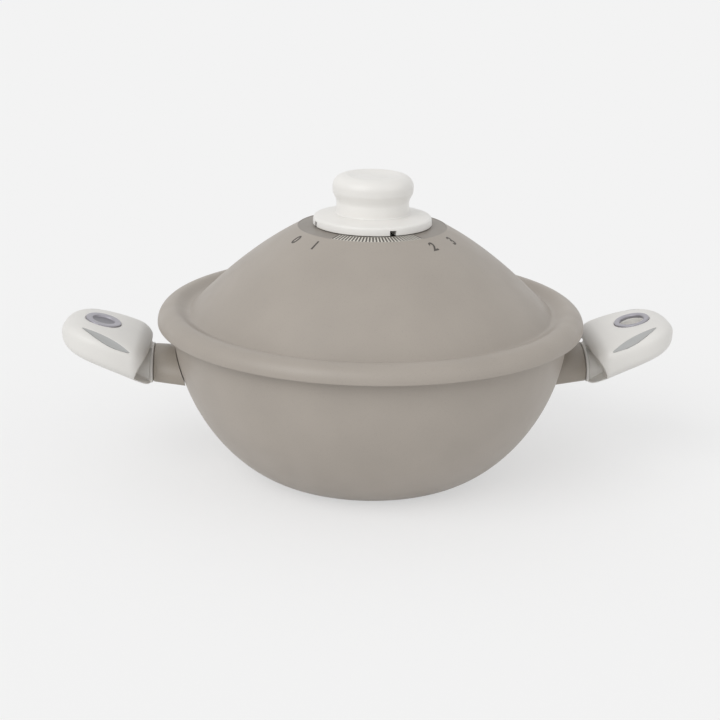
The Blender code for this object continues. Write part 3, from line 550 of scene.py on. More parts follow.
def finished(thing, finish, body, slot, *nodes, sharp=SHARP_ANGLE):
    thing.data.materials.clear()
    thing.data.materials.append(finish)
    thing.data.shade_smooth()
    if sharp:
        thing.data.set_sharp_from_angle(angle=math.radians(sharp))
    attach(thing, body)
    if nodes:
        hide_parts(*nodes)
    thing.data.calc_loop_triangles()
    print(thing.name, len(thing.data.loop_triangles), "triangles")
    return thing


def blend(low, high, share):
    return low + (high - low) * share


def arc(centre, radii, start, end, count):
    """Points on an ellipse's arc, in degrees from the outward direction towards up."""
    points = []
    for i in range(count + 1):
        angle = math.radians(blend(start, end, i / count))
        points.append((centre[0] + radii[0] * math.cos(angle), centre[1] + radii[1] * math.sin(angle)))
    return points


def below(path, distance):
    """A path that runs outwards, moved down square to itself: the underside of a sheet."""
    moved = []
    for i, point in enumerate(path):
        before, after = path[max(i - 1, 0)], path[min(i + 1, len(path) - 1)]
        along = Vector((after[0] - before[0], after[1] - before[1])).normalized()
        moved.append((point[0] + distance * along[1], point[1] - distance * along[0]))
    return moved


print("a sheet's underside at 1 mm:", below([(0.0, 0.0), (0.01, 0.0)], 0.001))

# %% [markdown]
# ## The wok
# A thick cast bowl. Its wall runs flat out of the base and turns up to an upright rim, and the rim
# ends in a flange that carries the tray. A subdivided cage could give that curve, but the CAD has it
# as a formula, so the same formula draws the wire here, with more points. All sizes come first, as
# the sleeves behind the grips follow the same curve.

# %% Wok sizes
FIT = 0.0003
BASE_RADIUS = 0.0735
MOUTH_RADIUS = 0.1375
WOK_HEIGHT = 0.1144
WOK_WALL = 0.0035
WOK_FLOOR = 0.006
RIM_RADIUS = 0.146
RIM_THICKNESS = 0.0031
BELLY_POWER = 1.41
WALL_RADIUS = MOUTH_RADIUS + WOK_WALL
WALL_HEIGHT = WOK_HEIGHT - RIM_THICKNESS
FOOT_RING = 0.0045
GROOVE_DEPTH = 0.0005
GROOVE_RADII = (0.054, 0.041, 0.028, 0.015)
GROOVE_SECTION = ((0.001, 1.0), (0.0004, 1.7), (-0.0004, 1.7), (-0.001, 1.0))
ROOT_HEIGHT = 0.0772
LUG_HALF_WIDTH = 0.013
LUG_HALF_HEIGHT = 0.005
LUG_LENGTH = 0.012
LUG_ROUNDING = 0.001
LUG_SINK = 0.6 * WOK_WALL
GUARD_LENGTH = 0.0177
GUARD_WALL = 0.0025


def bowl_curve(foot, top, count=44):
    points = []
    for i in range(count + 1):
        angle = math.pi / 2 * i / count
        radius = blend(foot[0], top[0], math.sin(angle) ** BELLY_POWER)
        points.append((radius, blend(foot[1], top[1], 1 - math.cos(angle))))
    return points


def wall_radius(height):
    angle = math.acos(1 - height / WALL_HEIGHT)
    return blend(BASE_RADIUS, WALL_RADIUS, math.sin(angle) ** BELLY_POWER)


ROOT_WALL_RADIUS = wall_radius(ROOT_HEIGHT)
GUARD_END = ROOT_WALL_RADIUS + GUARD_LENGTH
LUG_END = GUARD_END - GUARD_WALL - FIT
THREAD_RADIUS = 0.0025
THREAD_BITE = 0.010
print("the wall is", round(1000 * ROOT_WALL_RADIUS, 1), "mm from the axis where the grips start")

# %% [markdown]
# ## Casting the wok
# The wire runs from the middle of the bowl's inside over the rim and back under the base, and is
# turned in one go. The base has a foot ring and shallow turned grooves, which let the metal swell
# evenly on the hob. On each side stands the cast lug that the handle's screw bites into. The lugs are
# joined to the wall, and a blind hole for the screw is then drilled into the end of each.

# %% Wok
inside = bowl_curve((BASE_RADIUS - WOK_WALL, WOK_FLOOR), (MOUTH_RADIUS, WALL_HEIGHT - 0.002))
outside = bowl_curve((BASE_RADIUS, 0.0), (WALL_RADIUS, WALL_HEIGHT))[:-1]
rim = [
    (MOUTH_RADIUS, WOK_HEIGHT, 0.0019),
    (RIM_RADIUS, WOK_HEIGHT, 0.0011),
    (RIM_RADIUS, WALL_HEIGHT, 0.0011),
    (WALL_RADIUS, WALL_HEIGHT, 0.0016),
]
base = [(BASE_RADIUS - FOOT_RING, 0.0, 0.0004), (BASE_RADIUS - FOOT_RING, GROOVE_DEPTH, 0.0002)]
for groove in GROOVE_RADII:
    for edge, height in GROOVE_SECTION:
        base.append((groove + edge, height * GROOVE_DEPTH))
profile = [(0.0, WOK_FLOOR), *inside, *rim, *outside[::-1], *base, (0.0, GROOVE_DEPTH)]
wok = solid("wok_shell", turned(profile))


def lug(side):
    """The lug starts inside the slanted wall, so its inner end leans with the wall."""
    low = (LUG_END - LUG_LENGTH, -LUG_HALF_WIDTH, ROOT_HEIGHT - LUG_HALF_HEIGHT)
    shape = block(low, (LUG_END, LUG_HALF_WIDTH, ROOT_HEIGHT + LUG_HALF_HEIGHT))
    for vert in shape.verts:
        if vert.co.x < LUG_END - LUG_ROUNDING:
            vert.co.x = wall_radius(vert.co.z) - LUG_SINK
    outer = [edge for edge in shape.edges if max(v.co.x for v in edge.verts) > LUG_END - LUG_ROUNDING]
    bmesh.ops.bevel(
        shape, geom=outer, offset=LUG_ROUNDING, segments=3, profile=0.5, affect="EDGES", material=-1
    )
    turn = Matrix.Rotation(0.0 if side > 0 else math.pi, 4, "Z")
    bmesh.ops.transform(shape, matrix=turn, verts=shape.verts)
    return shape


carve(wok, [lug(-1), lug(1)], "UNION")
threads = []
for side in (-1, 1):
    start = (side * (LUG_END - THREAD_BITE - FIT), 0, ROOT_HEIGHT)
    end = (side * (LUG_END + OVERRUN), 0, ROOT_HEIGHT)
    threads.append(rod(THREAD_RADIUS + FIT, start, end))
carve(wok, threads)
finished(wok, wok_coating, "wok", "wok_coating", "wok_body")

# %% [markdown]
# ## The sleeves behind the grips
# Each handle starts with a coated metal sleeve that slips over the lug and keeps the plastic away
# from the hot wall. It has a flat bottom and a high arched top, flares towards the wok and follows
# the wall with a seam of 0.6 mm, which shows as a thin dark line. The sleeve is lofted past the wall
# and then cut back by the bowl's own curve, grown by the seam, so the seam runs all round alike.

# %% Heat guards
GUARD_HALF_WIDTH = 0.0235
GUARD_WIDEST_DROP = 0.0021
GUARD_LOWER = (0.0068, 5.0)
GUARD_UPPER = (0.0151, 1.8)
GUARD_FLARE = 0.2
GUARD_SLOPE = 0.085
GUARD_SEAM = 0.0006
GUARD_EDGE = 0.0008
GUARD_OVERLAP = 0.012
LOFT_POINTS = 128
BOWL_CUT_STEPS = 256


def section_point(half_width, lower, upper, turn):
    """A point of a closed section round its widest level. Its lower and upper halves are each (height,
    power): power 2 is an ellipse, and a high power is nearly a box."""
    angle = 2 * math.pi * turn
    height, power = upper if math.sin(angle) > 0 else lower
    across = math.copysign(abs(math.cos(angle)) ** (2 / power), math.cos(angle))
    up = math.copysign(abs(math.sin(angle)) ** (2 / power), math.sin(angle))
    return half_width * across, height * up


def arch_point(half_width, inset, turn):
    lower = GUARD_LOWER[0] - inset, GUARD_LOWER[1]
    upper = GUARD_UPPER[0] - inset, GUARD_UPPER[1]
    return section_point(half_width - inset, lower, upper, turn)


def guard_section(side, distance, inset):
    inward = GUARD_END - distance
    height = ROOT_HEIGHT - GUARD_WIDEST_DROP - GUARD_SLOPE * inward

    def place(turn):
        across, up = arch_point(GUARD_HALF_WIDTH + GUARD_FLARE * inward, inset, turn)
        return Vector((side * distance, across, height + up))

    return place


for name, side in (("left", -1), ("right", 1)):
    start = ROOT_WALL_RADIUS - GUARD_OVERLAP
    edge = [(GUARD_END - 0.3 * GUARD_EDGE, 0.3 * GUARD_EDGE), (GUARD_END, GUARD_EDGE)]
    outer = [(start, 0.0), (GUARD_END - GUARD_EDGE, 0.0), *edge]
    guard = solid(name + "_sleeve", lofted([guard_section(side, *at) for at in outer], LOFT_POINTS))
    inner_ends = start - OVERRUN, GUARD_END - GUARD_WALL
    hollow = lofted([guard_section(side, at, GUARD_WALL) for at in inner_ends], LOFT_POINTS)
    foot, top = (BASE_RADIUS + GUARD_SEAM, 0.0), (WALL_RADIUS + GUARD_SEAM, WALL_HEIGHT)
    bowl = turned([(0.0, 0.0), *bowl_curve(foot, top), (0.0, WALL_HEIGHT)], BOWL_CUT_STEPS)
    ends = (side * (LUG_END - OVERRUN), 0, ROOT_HEIGHT), (side * (GUARD_END + OVERRUN), 0, ROOT_HEIGHT)
    carve(guard, [hollow, bowl, rod(THREAD_RADIUS + FIT, *ends)])
    # The sleeve's coating is darker than the wok's: painted shade from the lid's brim.
    finished(guard, guard_shaded_coating, "wok", "wok_coating", name + "_heat_guard")

# %% [markdown]
# ## The grips
# Each grip is one plastic moulding: a flange against the sleeve, a shoulder, and a wide flat paddle
# that rises and rounds off at its end. Its sections are lofted from the CAD's formulas, with a
# shoulder that is a few millimetres fuller. Then the mould's other forms are cut out: the two scoops
# behind the flange, the pockets of the leaves, the seat of the oval, the hanging hole and the way in
# for the screw. A fine voxel remesh and a little smoothing round every one of those edges by half a
# millimetre, as a mould has to. Bevels on so many curved cuts would be fragile, and this is one step.

# %% Grip shape
FLANGE_START = GUARD_END + FIT
FLANGE_THICKNESS = 0.002
FLANGE_MARGIN = 0.0006
FLANGE_EDGE = 0.0005
GRIP_START = FLANGE_START + FLANGE_THICKNESS
GRIP_LENGTH = 0.0629
GRIP_HALF_WIDTH = 0.041
GRIP_SHOULDER_HALF_WIDTH = 0.0335
GRIP_SHOULDER_LENGTH = 0.012
GRIP_ROOT_HALF_HEIGHT = 0.0148
GRIP_TIP_HALF_HEIGHT = 0.0126
GRIP_ROOT_RISE = 0.0043
GRIP_TIP_RISE = 0.0244
GRIP_RISE_POWER = 1.5
GRIP_POWER = 3.5
GRIP_PLAN_POWER = 3.6
GRIP_SIDE_POWER = 7.0
GRIP_CORNER_ROUNDING = 0.0040
GRIP_HEEL_ROUNDING = 0.0095
GRIP_STATIONS = 72
GRIP_POINTS = 160


def rounded_end(share, power):
    return math.sqrt(max(1 - share**power, 0.0))


def grip_half_width(share):
    shoulder = min(share * GRIP_LENGTH / GRIP_SHOULDER_LENGTH, 1.0)
    root = blend(GRIP_SHOULDER_HALF_WIDTH, GRIP_HALF_WIDTH, math.sin(math.pi / 2 * shoulder))
    return root * rounded_end(share, GRIP_PLAN_POWER)


def grip_half_height(share):
    height = blend(GRIP_ROOT_HALF_HEIGHT, GRIP_TIP_HALF_HEIGHT, share)
    return height * rounded_end(share, GRIP_SIDE_POWER)


def grip_middle(share):
    return ROOT_HEIGHT + blend(GRIP_ROOT_RISE, GRIP_TIP_RISE, 1 - (1 - share) ** GRIP_RISE_POWER)


def growth(share, rounding):
    """Grows from 0 to 1 over a rounding behind the flange, steeply at first."""
    return math.sqrt(1 - (1 - min(share * GRIP_LENGTH / rounding, 1.0)) ** 2)


def grip_section(side, share):
    wide, tall = growth(share, GRIP_CORNER_ROUNDING), growth(share, GRIP_HEEL_ROUNDING)
    half_width = blend(GUARD_HALF_WIDTH + FLANGE_MARGIN, grip_half_width(share), wide)
    low = blend(GUARD_LOWER[0] + FLANGE_MARGIN, grip_half_height(share), tall)
    high = blend(GUARD_UPPER[0] + FLANGE_MARGIN, grip_half_height(share), tall)
    lower = low, blend(GUARD_LOWER[1], GRIP_POWER, wide)
    upper = high, blend(GUARD_UPPER[1], GRIP_POWER, wide)
    height = blend(ROOT_HEIGHT - GUARD_WIDEST_DROP, grip_middle(share), tall)

    def place(turn):
        across, up = section_point(half_width, lower, upper, turn)
        return Vector((side * (GRIP_START + share * GRIP_LENGTH), across, height + up))

    return place


def flange_section(side, distance, inset):
    def place(turn):
        across, up = arch_point(GUARD_HALF_WIDTH, inset - FLANGE_MARGIN, turn)
        return Vector((side * distance, across, ROOT_HEIGHT - GUARD_WIDEST_DROP + up))

    return place


def grip_body(side):
    shares = [(1 - math.cos(math.pi * i / GRIP_STATIONS)) / 2 for i in range(GRIP_STATIONS + 1)]
    flange = [(FLANGE_START, FLANGE_EDGE), (FLANGE_START + FLANGE_EDGE, 0.0)]
    sections = [flange_section(side, *at) for at in flange]
    return lofted(sections + [grip_section(side, share) for share in shares], GRIP_POINTS)


grip_end = GRIP_START + GRIP_LENGTH
print("grip from", round(1000 * FLANGE_START, 1), "to", round(1000 * grip_end, 1), "mm")

# %% [markdown]
# ## The oval's place
# The oval sits in the middle of the paddle and is square to its upper surface, which slopes. One
# matrix holds that place: move to the centre, then tilt by the slope of the surface there. Turned
# pieces that are made round the origin are stretched across the grip and moved with it.

# %% Oval frame
EYELET_REACH = 0.0335
EYELET_RADIUS = 0.0125
EYELET_HOLE_RADIUS = 0.0087
EYELET_STRETCH = 1.11
EYELET_DEPTH = 0.0022
EYELET_PROUD = 0.0004


def grip_top(reach):
    share = reach / GRIP_LENGTH
    return grip_middle(share) + grip_half_height(share)


def oval_place(side):
    slope = math.atan((grip_top(EYELET_REACH + FIT) - grip_top(EYELET_REACH - FIT)) / (2 * FIT))
    centre = Vector((side * (GRIP_START + EYELET_REACH), 0.0, grip_top(EYELET_REACH)))
    return Matrix.Translation(centre) @ Matrix.Rotation(-side * slope, 4, "Y")


def as_oval(shape, side):
    place = oval_place(side) @ Matrix.Diagonal((1.0, EYELET_STRETCH, 1.0, 1.0))
    bmesh.ops.transform(shape, matrix=place, verts=shape.verts)
    return shape


print("the oval is tilted by", round(math.degrees(oval_place(1).to_euler().y), 1), "degrees")

# %% [markdown]
# ## The leaves
# On each shoulder of the paddle lies a leaf-shaped inlay of matt grey rubber. A leaf is a grid
# whose length follows a curved middle line and whose width swells and closes again. Its points are
# dropped onto the grip by ray casting, like a sticker pressed onto the moulding. The same grid, a
# fit wider and carried deeper, makes the pocket.

# %% Leaf helpers
LEAF_ROOT = Vector((0.0122, 0.0375, 0.0178))
LEAF_MIDDLE = Vector((0.0262, 0.0388, 0.0277))
LEAF_TIP = Vector((0.0459, 0.0229, 0.0318))
LEAF_LEAN = math.radians(38.0)
LEAF_HALF_WIDTH = 0.0030
LEAF_DEPTH = 0.0014
LEAF_DISH = 0.0008
LEAF_SWELL = 0.0002
LEAF_EDGE_DROP = 0.0001
LEAF_PRESS_FROM = 0.03


def leaf_point(along, across, margin):
    """A place on the leaf from the grip's start, with along 0 to 1 and across -1 to 1."""
    lean = Vector((0.0, math.sin(LEAF_LEAN), math.cos(LEAF_LEAN)))
    middle = LEAF_ROOT.lerp(LEAF_MIDDLE, along).lerp(LEAF_MIDDLE.lerp(LEAF_TIP, along), along)
    way = (LEAF_MIDDLE - LEAF_ROOT).lerp(LEAF_TIP - LEAF_MIDDLE, along)
    half = LEAF_HALF_WIDTH * math.sin(math.pi * along) + margin
    return middle + across * half * way.cross(lean).normalized()


def leaf(side, face, surface, margin, low, high):
    """A slab that follows the grip's surface between two depths: low and high give them from along and
    across."""
    shape = bmesh.new()
    bmesh.ops.create_grid(shape, x_segments=48, y_segments=12, size=1.0)
    bottom = shape.verts[:]
    grown = bmesh.ops.extrude_face_region(shape, geom=shape.faces[:], use_keep_orig=True)["geom"]
    top = [item for item in grown if isinstance(item, bmesh.types.BMVert)]
    lean = Vector((0.0, face * math.sin(LEAF_LEAN), math.cos(LEAF_LEAN)))
    for verts, depth in ((bottom, low), (top, high)):
        for vert in verts:
            along, across = (vert.co.x + 1) / 2, vert.co.y
            point = leaf_point(along, across, margin)
            place = Vector((side * (GRIP_START + point.x), face * point.y, ROOT_HEIGHT + point.z))
            hit = surface.ray_cast(place + LEAF_PRESS_FROM * lean, -lean)[0]
            vert.co = hit + depth(along, across) * lean
    return mended(shape)


print("leaf width in the middle", round(2000 * LEAF_HALF_WIDTH, 1), "mm")

# %% [markdown]
# ## Cutting and finishing the grips
# The scoop is the curved facet under the shoulder: it takes the inner corner off each side of the
# grip, goes in as far as the neck and leaves a lip along the bottom. Its cutter is a slab with an
# arched back, from which the neck's own section has been taken first. Its floor stands 1 to 4 mm
# higher than the CAD's. The screw's way in runs along the grip at the height of the lug and comes out
# underneath, where the paddle has risen above it. The right grip's oval seat goes on down as the
# hanging hole.

# %% Grips
SCOOP_RADII = (0.0201, 0.0261)
SCOOP_SETBACK = 0.0094
SCOOP_DROP = 0.0086
SCOOP_END = 17.0
SCOOP_FLOOR_DROP = 0.0062
SCOOP_CREST_HALF_WIDTH = 0.006
NECK_INSET = 0.0012
NECK_LENGTH = 0.018
SCREW_SEAT = GRIP_START + 0.0055
SCREW_HEAD_RADIUS = 0.0042
RECESS_LENGTH = 0.036
RECESS_MARGIN = 0.0005
HOLE_DEPTH = 0.045
REMESH_SIZE = 0.00052


def scoop(side, face):
    """The cutter of one scoop: a slab with an arched back, open towards the flange, less the neck."""
    centre = (GRIP_START - SCOOP_SETBACK, ROOT_HEIGHT - SCOOP_DROP)
    start = math.degrees(math.acos(SCOOP_SETBACK / SCOOP_RADII[0]))
    outline = arc(centre, SCOOP_RADII, start, SCOOP_END, 24)
    outline.append((GRIP_START, ROOT_HEIGHT - SCOOP_FLOOR_DROP))
    shape = bmesh.new()
    inner, outer = face * SCOOP_CREST_HALF_WIDTH, face * (GRIP_HALF_WIDTH + OVERRUN)
    wall = shape.faces.new([shape.verts.new((side * x, inner, z)) for x, z in outline])
    grown = bmesh.ops.extrude_face_region(shape, geom=[wall], use_keep_orig=True)["geom"]
    fresh = [item for item in grown if isinstance(item, bmesh.types.BMVert)]
    bmesh.ops.translate(shape, verts=fresh, vec=(0.0, outer - inner, 0.0))
    slab = solid("slab", mended(shape))
    reaches = GRIP_START - OVERRUN, GRIP_START + NECK_LENGTH
    carve(slab, [lofted([flange_section(side, at, NECK_INSET) for at in reaches], LOFT_POINTS)])
    cutter = bmesh.new()
    cutter.from_mesh(slab.data)
    bpy.data.meshes.remove(slab.data)
    return cutter


def oval_seat(side, has_hole):
    seat = EYELET_RADIUS + FIT
    points = [(0.0, OVERRUN), (seat, OVERRUN), (seat, -EYELET_DEPTH)]
    if has_hole:
        points += [(EYELET_HOLE_RADIUS, -EYELET_DEPTH), (EYELET_HOLE_RADIUS, -HOLE_DEPTH)]
        points.append((0.0, -HOLE_DEPTH))
    else:
        points.append((0.0, -EYELET_DEPTH))
    return as_oval(turned(points, 128), side)


def pocket_floor(along, across):
    return -LEAF_DEPTH


def leaf_top(along, across):
    """The inlay's face: just under the plastic at its edge, and dished along its middle."""
    return -LEAF_EDGE_DROP - LEAF_DISH * (1 - across * across) * math.sin(math.pi * along)


for name, side in (("left", -1), ("right", 1)):
    body = grip_body(side)
    surface = BVHTree.FromBMesh(body)
    grip = solid(name + "_paddle", body)
    start = (side * (FLANGE_START - OVERRUN), 0, ROOT_HEIGHT)
    seat = (side * SCREW_SEAT, 0, ROOT_HEIGHT)
    past_seat = (side * (SCREW_SEAT + OVERRUN), 0, ROOT_HEIGHT)
    way_out = (side * (SCREW_SEAT + RECESS_LENGTH), 0, ROOT_HEIGHT)
    cuts = [oval_seat(side, side > 0), rod(THREAD_RADIUS + FIT, start, past_seat)]
    cuts.append(rod(SCREW_HEAD_RADIUS + RECESS_MARGIN, seat, way_out))
    for face in (-1, 1):
        cuts.append(leaf(side, face, surface, FIT, pocket_floor, lambda along, across: OVERRUN))
    carve(grip, [scoop(side, -1), scoop(side, 1), *cuts])
    remesh = grip.modifiers.new("remesh", "REMESH")
    remesh.mode = "VOXEL"
    remesh.voxel_size = REMESH_SIZE
    soften = grip.modifiers.new("soften", "SMOOTH")
    soften.factor = 0.5
    soften.iterations = 3
    settle(grip)
    finished(grip, grip_plastic, "wok", "grip_plastic", name + "_grip", sharp=0)
    for face, label in ((-1, "front"), (1, "back")):
        shape = leaf(side, face, surface, LEAF_SWELL, lambda along, across: -LEAF_DEPTH + FIT, leaf_top)
        inlay = solid(f"{name}_leaf_{label}", shape)
        finished(inlay, inlay_grey, "wok", "inlay_grey", f"{name}_inlay_{label}", sharp=50.0)

# %% [markdown]
# ## The ovals
# The right oval is a ring round the hanging hole: a thin outer edge, a flat face and a bevel that
# leads into the hole. The left one is the same ring round a bare, dished plate. Both are turned
# round the origin and then put in place by the oval's matrix.

# %% Ovals
PLATE_SHARE = 0.66

right_metal = lathed("oval_metal_right", (170, 168, 175), 0.36, 0.55, oval_place(1))
border = PLATE_SHARE * EYELET_RADIUS
left_metal = lathed("oval_metal_left", (170, 168, 175), 0.36, 0.55, oval_place(-1), border)
under = -EYELET_DEPTH + FIT
eyelet_points = [
    (EYELET_HOLE_RADIUS, under, 0.0002),
    (EYELET_RADIUS, under, 0.0003),
    (EYELET_RADIUS, EYELET_PROUD - 0.0002, 0.0004),
    (EYELET_RADIUS - 0.0009, EYELET_PROUD + 0.0001, 0.0004),
    (EYELET_HOLE_RADIUS + 0.0008, EYELET_PROUD, 0.0003),
    (EYELET_HOLE_RADIUS, EYELET_PROUD - 0.0006, 0.0003),
]
eyelet = solid("hanging_ring", as_oval(turned(eyelet_points, 128), 1))
finished(eyelet, right_metal, "wok", "oval_metal", "right_hanging_eyelet")

plate_points = [
    (0.0, EYELET_PROUD - 0.0015),
    (0.55 * border, EYELET_PROUD - 0.00145),
    (border - 0.0008, EYELET_PROUD - 0.0013, 0.0006),
    (border, EYELET_PROUD, 0.0003),
    (EYELET_RADIUS - 0.0009, EYELET_PROUD + 0.0001, 0.0004),
    (EYELET_RADIUS, EYELET_PROUD - 0.0002, 0.0004),
    (EYELET_RADIUS, under, 0.0003),
    (0.0, under),
]
plate = solid("oval_badge_plate", as_oval(turned(plate_points, 128), -1))
finished(plate, left_metal, "wok", "oval_metal", "left_oval_plate")

# %% [markdown]
# ## Screws
# A pan-head screw is a turned shank and head with a cross pressed into it. The cross is two tapered
# blocks at right angles, cut out of the head. The screws in this wok lie along the handles or stand in
# the knob, so the shape is made once, pointing up, and a matrix puts each in place.

# %% Screw helpers
SCREW_HEAD_HEIGHT = 0.003
CROSS_REACH = 0.62
CROSS_HALF_WIDTH = 0.14
CROSS_FLOOR = 0.45
CROSS_TAPER = 0.55
WASHER_THICKNESS = 0.0008


def screw(radius, head_radius, length, place):
    points = [
        (0.0, length),
        (radius, length, 0.0008),
        (radius, 0.0, 0.0002),
        (head_radius, 0.0, 0.0002),
        (head_radius, -SCREW_HEAD_HEIGHT, 0.0014),
        (0.0, -SCREW_HEAD_HEIGHT),
    ]
    thing = solid("screw", turned(points, SMALL_STEPS))
    arms = []
    for turn in (0.0, math.pi / 2):
        reach, half = CROSS_REACH * head_radius, CROSS_HALF_WIDTH * head_radius
        low = (-reach, -half, -SCREW_HEAD_HEIGHT - 0.001)
        high = (reach, half, -CROSS_FLOOR * SCREW_HEAD_HEIGHT)
        arm = block(low, high, place=Matrix.Rotation(turn, 4, "Z"))
        for vert in arm.verts:
            if vert.co.z > -SCREW_HEAD_HEIGHT:
                vert.co.x *= CROSS_TAPER
                vert.co.y *= CROSS_TAPER
        arms.append(arm)
    carve(thing, arms)
    thing.data.transform(place)
    return thing


def washer(inner, outer, low, high, place=None):
    edge = min(0.0003, (high - low) / 3)
    points = [(inner, low, edge), (outer, low, edge), (outer, high, edge), (inner, high, edge)]
    thing = solid("washer", turned(points, SMALL_STEPS))
    if place:
        thing.data.transform(place)
    return thing


def on_handle(side, distance):
    """A place on the handle's screw axis, with +Z pointing at the wok."""
    lying = Matrix.Rotation(-side * math.pi / 2, 4, "Y")
    return Matrix.Translation((side * distance, 0, ROOT_HEIGHT)) @ lying


for name, side in (("left", -1), ("right", 1)):
    washer_at = SCREW_SEAT + FIT + WASHER_THICKNESS
    lying = on_handle(side, washer_at)
    ring = washer(THREAD_RADIUS + FIT, SCREW_HEAD_RADIUS, 0.0, WASHER_THICKNESS, lying)
    ring.name = name + "_handle_washer"
    finished(ring, steel, "wok", "steel", name + "_screw_washer")
    head_at = washer_at + FIT
    length = head_at - (LUG_END - THREAD_BITE)
    bolt = screw(THREAD_RADIUS, SCREW_HEAD_RADIUS, length, on_handle(side, head_at))
    bolt.name = name + "_pan_screw"
    finished(bolt, steel, "wok", "steel", name + "_handle_screw")

# %% [markdown]
# ## The steaming tray
# A shallow pressed tray with a rolled rim that rests on the wok's flange. Two rings of holes let
# the steam up. It is a sheet, so the wire is drawn once along its upper face and moved down by
# the sheet's thickness for the lower one.

# %% Tray
TRAY_SHEET = 0.0015
TRAY_DEPTH = 0.0262
TRAY_SIDE_GAP = 0.0006
TRAY_TAPER = 0.0075
TRAY_WALL_LEAN = 10.0
TRAY_RIM_WIDTH = 0.0056
TRAY_RIM_ROUNDING = 0.003
TRAY_FLOOR_ROUNDING = 0.006
TRAY_FLAT_RADIUS = 0.06
TRAY_WALL_RADIUS = MOUTH_RADIUS - TRAY_SIDE_GAP - TRAY_SHEET
TRAY_RIM_RADIUS = TRAY_WALL_RADIUS + TRAY_RIM_WIDTH
TRAY_TOP = WOK_HEIGHT + FIT + TRAY_SHEET
STEAM_HOLE_RADIUS = 0.004
STEAM_RINGS = ((0.070, 12), (0.102, 18))

tray_floor = TRAY_TOP - TRAY_DEPTH
floor_corner = (TRAY_WALL_RADIUS - TRAY_TAPER - TRAY_FLOOR_ROUNDING, tray_floor + TRAY_FLOOR_ROUNDING)
rim_corner = (TRAY_WALL_RADIUS + TRAY_RIM_ROUNDING, TRAY_TOP - TRAY_RIM_ROUNDING)
upper = [(0.0, tray_floor), (TRAY_FLAT_RADIUS, tray_floor)]
upper += arc(floor_corner, (TRAY_FLOOR_ROUNDING, TRAY_FLOOR_ROUNDING), -90, -TRAY_WALL_LEAN, 12)
upper += arc(rim_corner, (TRAY_RIM_ROUNDING, TRAY_RIM_ROUNDING), 180 - TRAY_WALL_LEAN, 90, 10)
upper.append((TRAY_RIM_RADIUS, TRAY_TOP))
lower = below(upper, TRAY_SHEET)
rim_edge = [(*upper[-1], 0.0006), (*lower[-1], 0.0006)]
tray = solid("tray_dish", turned([*upper[:-1], *rim_edge, *lower[-2::-1]]))
holes = []
for circle, count in STEAM_RINGS:
    for i in range(count):
        angle = 2 * math.pi * i / count
        x, y = circle * math.cos(angle), circle * math.sin(angle)
        low, high = (x, y, tray_floor - TRAY_SHEET - OVERRUN), (x, y, tray_floor + OVERRUN)
        holes.append(rod(STEAM_HOLE_RADIUS, low, high, 32))
punch = holes[0]
for hole in holes[1:]:
    extra = bpy.data.meshes.new("hole")
    hole.to_mesh(extra)
    hole.free()
    punch.from_mesh(extra)
    bpy.data.meshes.remove(extra)
carve(tray, [punch])
finished(tray, tray_coating, "steam_tray", "tray_coating", "steam_tray")

# %% [markdown]
# ## The lid
# The dome rises from a shallow valley inside the brim to a disc with a fine raised bead round it.
# The disc falls a little outwards, and a well in its middle takes the seal and the dial. Outside the
# valley the brim rolls up to a crest and down to a lip that covers the wok's rim. Underneath, a rib
# finds the tray's wall and centres the lid. Its sizes and curves come first, because the print on
# the lid and the dial use them too.

# %% Lid sizes
LID_RADIUS = RIM_RADIUS + 0.0055
LID_SEAT = TRAY_TOP + FIT
LID_SHEET = 0.0025
LIP_LOW = LID_SEAT - 0.007
LIP_EDGE = LID_SEAT - 0.0055
CREST_RADIUS = LID_RADIUS - 0.011
CREST_HEIGHT = LID_SEAT + 0.005
VALLEY_RADIUS = LID_RADIUS - 0.0217
VALLEY_HEIGHT = LID_SEAT + 0.0009
DOME_FOOT_ROUNDING = 0.017
DOME_CONVEXITY = 0.252
WELL_FLOOR = LID_SEAT + 0.0604
WELL_RADIUS = 0.041
WELL_THICKNESS = 0.003
BEAD_WIDTH = 0.0026
BEAD_RISE = 0.0004
RIB_GAP = 0.001
RIB_WIDTH = 0.007
RIB_DROP = 0.0024
SCREW_RADIUS = 0.0025
VENT_CIRCLE = 0.028
VENT_RADIUS = 0.0022
NOTCH_AZIMUTH = math.radians(-74.0)
VENT_TURN = math.radians(45.0)
SEAL_THICKNESS = 0.0019
DIAL_BOTTOM = WELL_FLOOR + SEAL_THICKNESS + 2 * FIT
DISC_TOP = DIAL_BOTTOM - FIT
STOP_CIRCLE = 0.0373
STOP_RADIUS = 0.0015
STOP_REACH = 0.002
STOP_ROOT = 0.0015


def dome_height(radius):
    def rise(share):
        return math.hypot(share, DOME_FOOT_ROUNDING) - DOME_FOOT_ROUNDING - DOME_CONVEXITY * share**2

    share = (VALLEY_RADIUS - radius) / (VALLEY_RADIUS - DISC_RADIUS)
    return blend(VALLEY_HEIGHT, DISC_EDGE, rise(share) / rise(1.0))


def brim_height(radius):
    share = (radius - VALLEY_RADIUS) / (CREST_RADIUS - VALLEY_RADIUS)
    return blend(VALLEY_HEIGHT, CREST_HEIGHT, (1 - math.cos(math.pi * share)) / 2)


def disc_height(radius):
    return blend(DISC_TOP, DISC_EDGE, (radius - WELL_RADIUS) / (DISC_RADIUS - WELL_RADIUS))


def vent_holes():
    """Four drills at the open places of the dial's notches."""
    drills = []
    for i in range(4):
        angle = NOTCH_AZIMUTH + VENT_TURN + math.pi / 2 * i
        x, y = VENT_CIRCLE * math.cos(angle), VENT_CIRCLE * math.sin(angle)
        low, high = (x, y, WELL_FLOOR - WELL_THICKNESS - OVERRUN), (x, y, DIAL_BOTTOM + FIT)
        drills.append(rod(VENT_RADIUS, low, high, 32))
    return drills


print("the lid's disc is", round(1000 * (DISC_TOP - VALLEY_HEIGHT), 1), "mm above its valley")

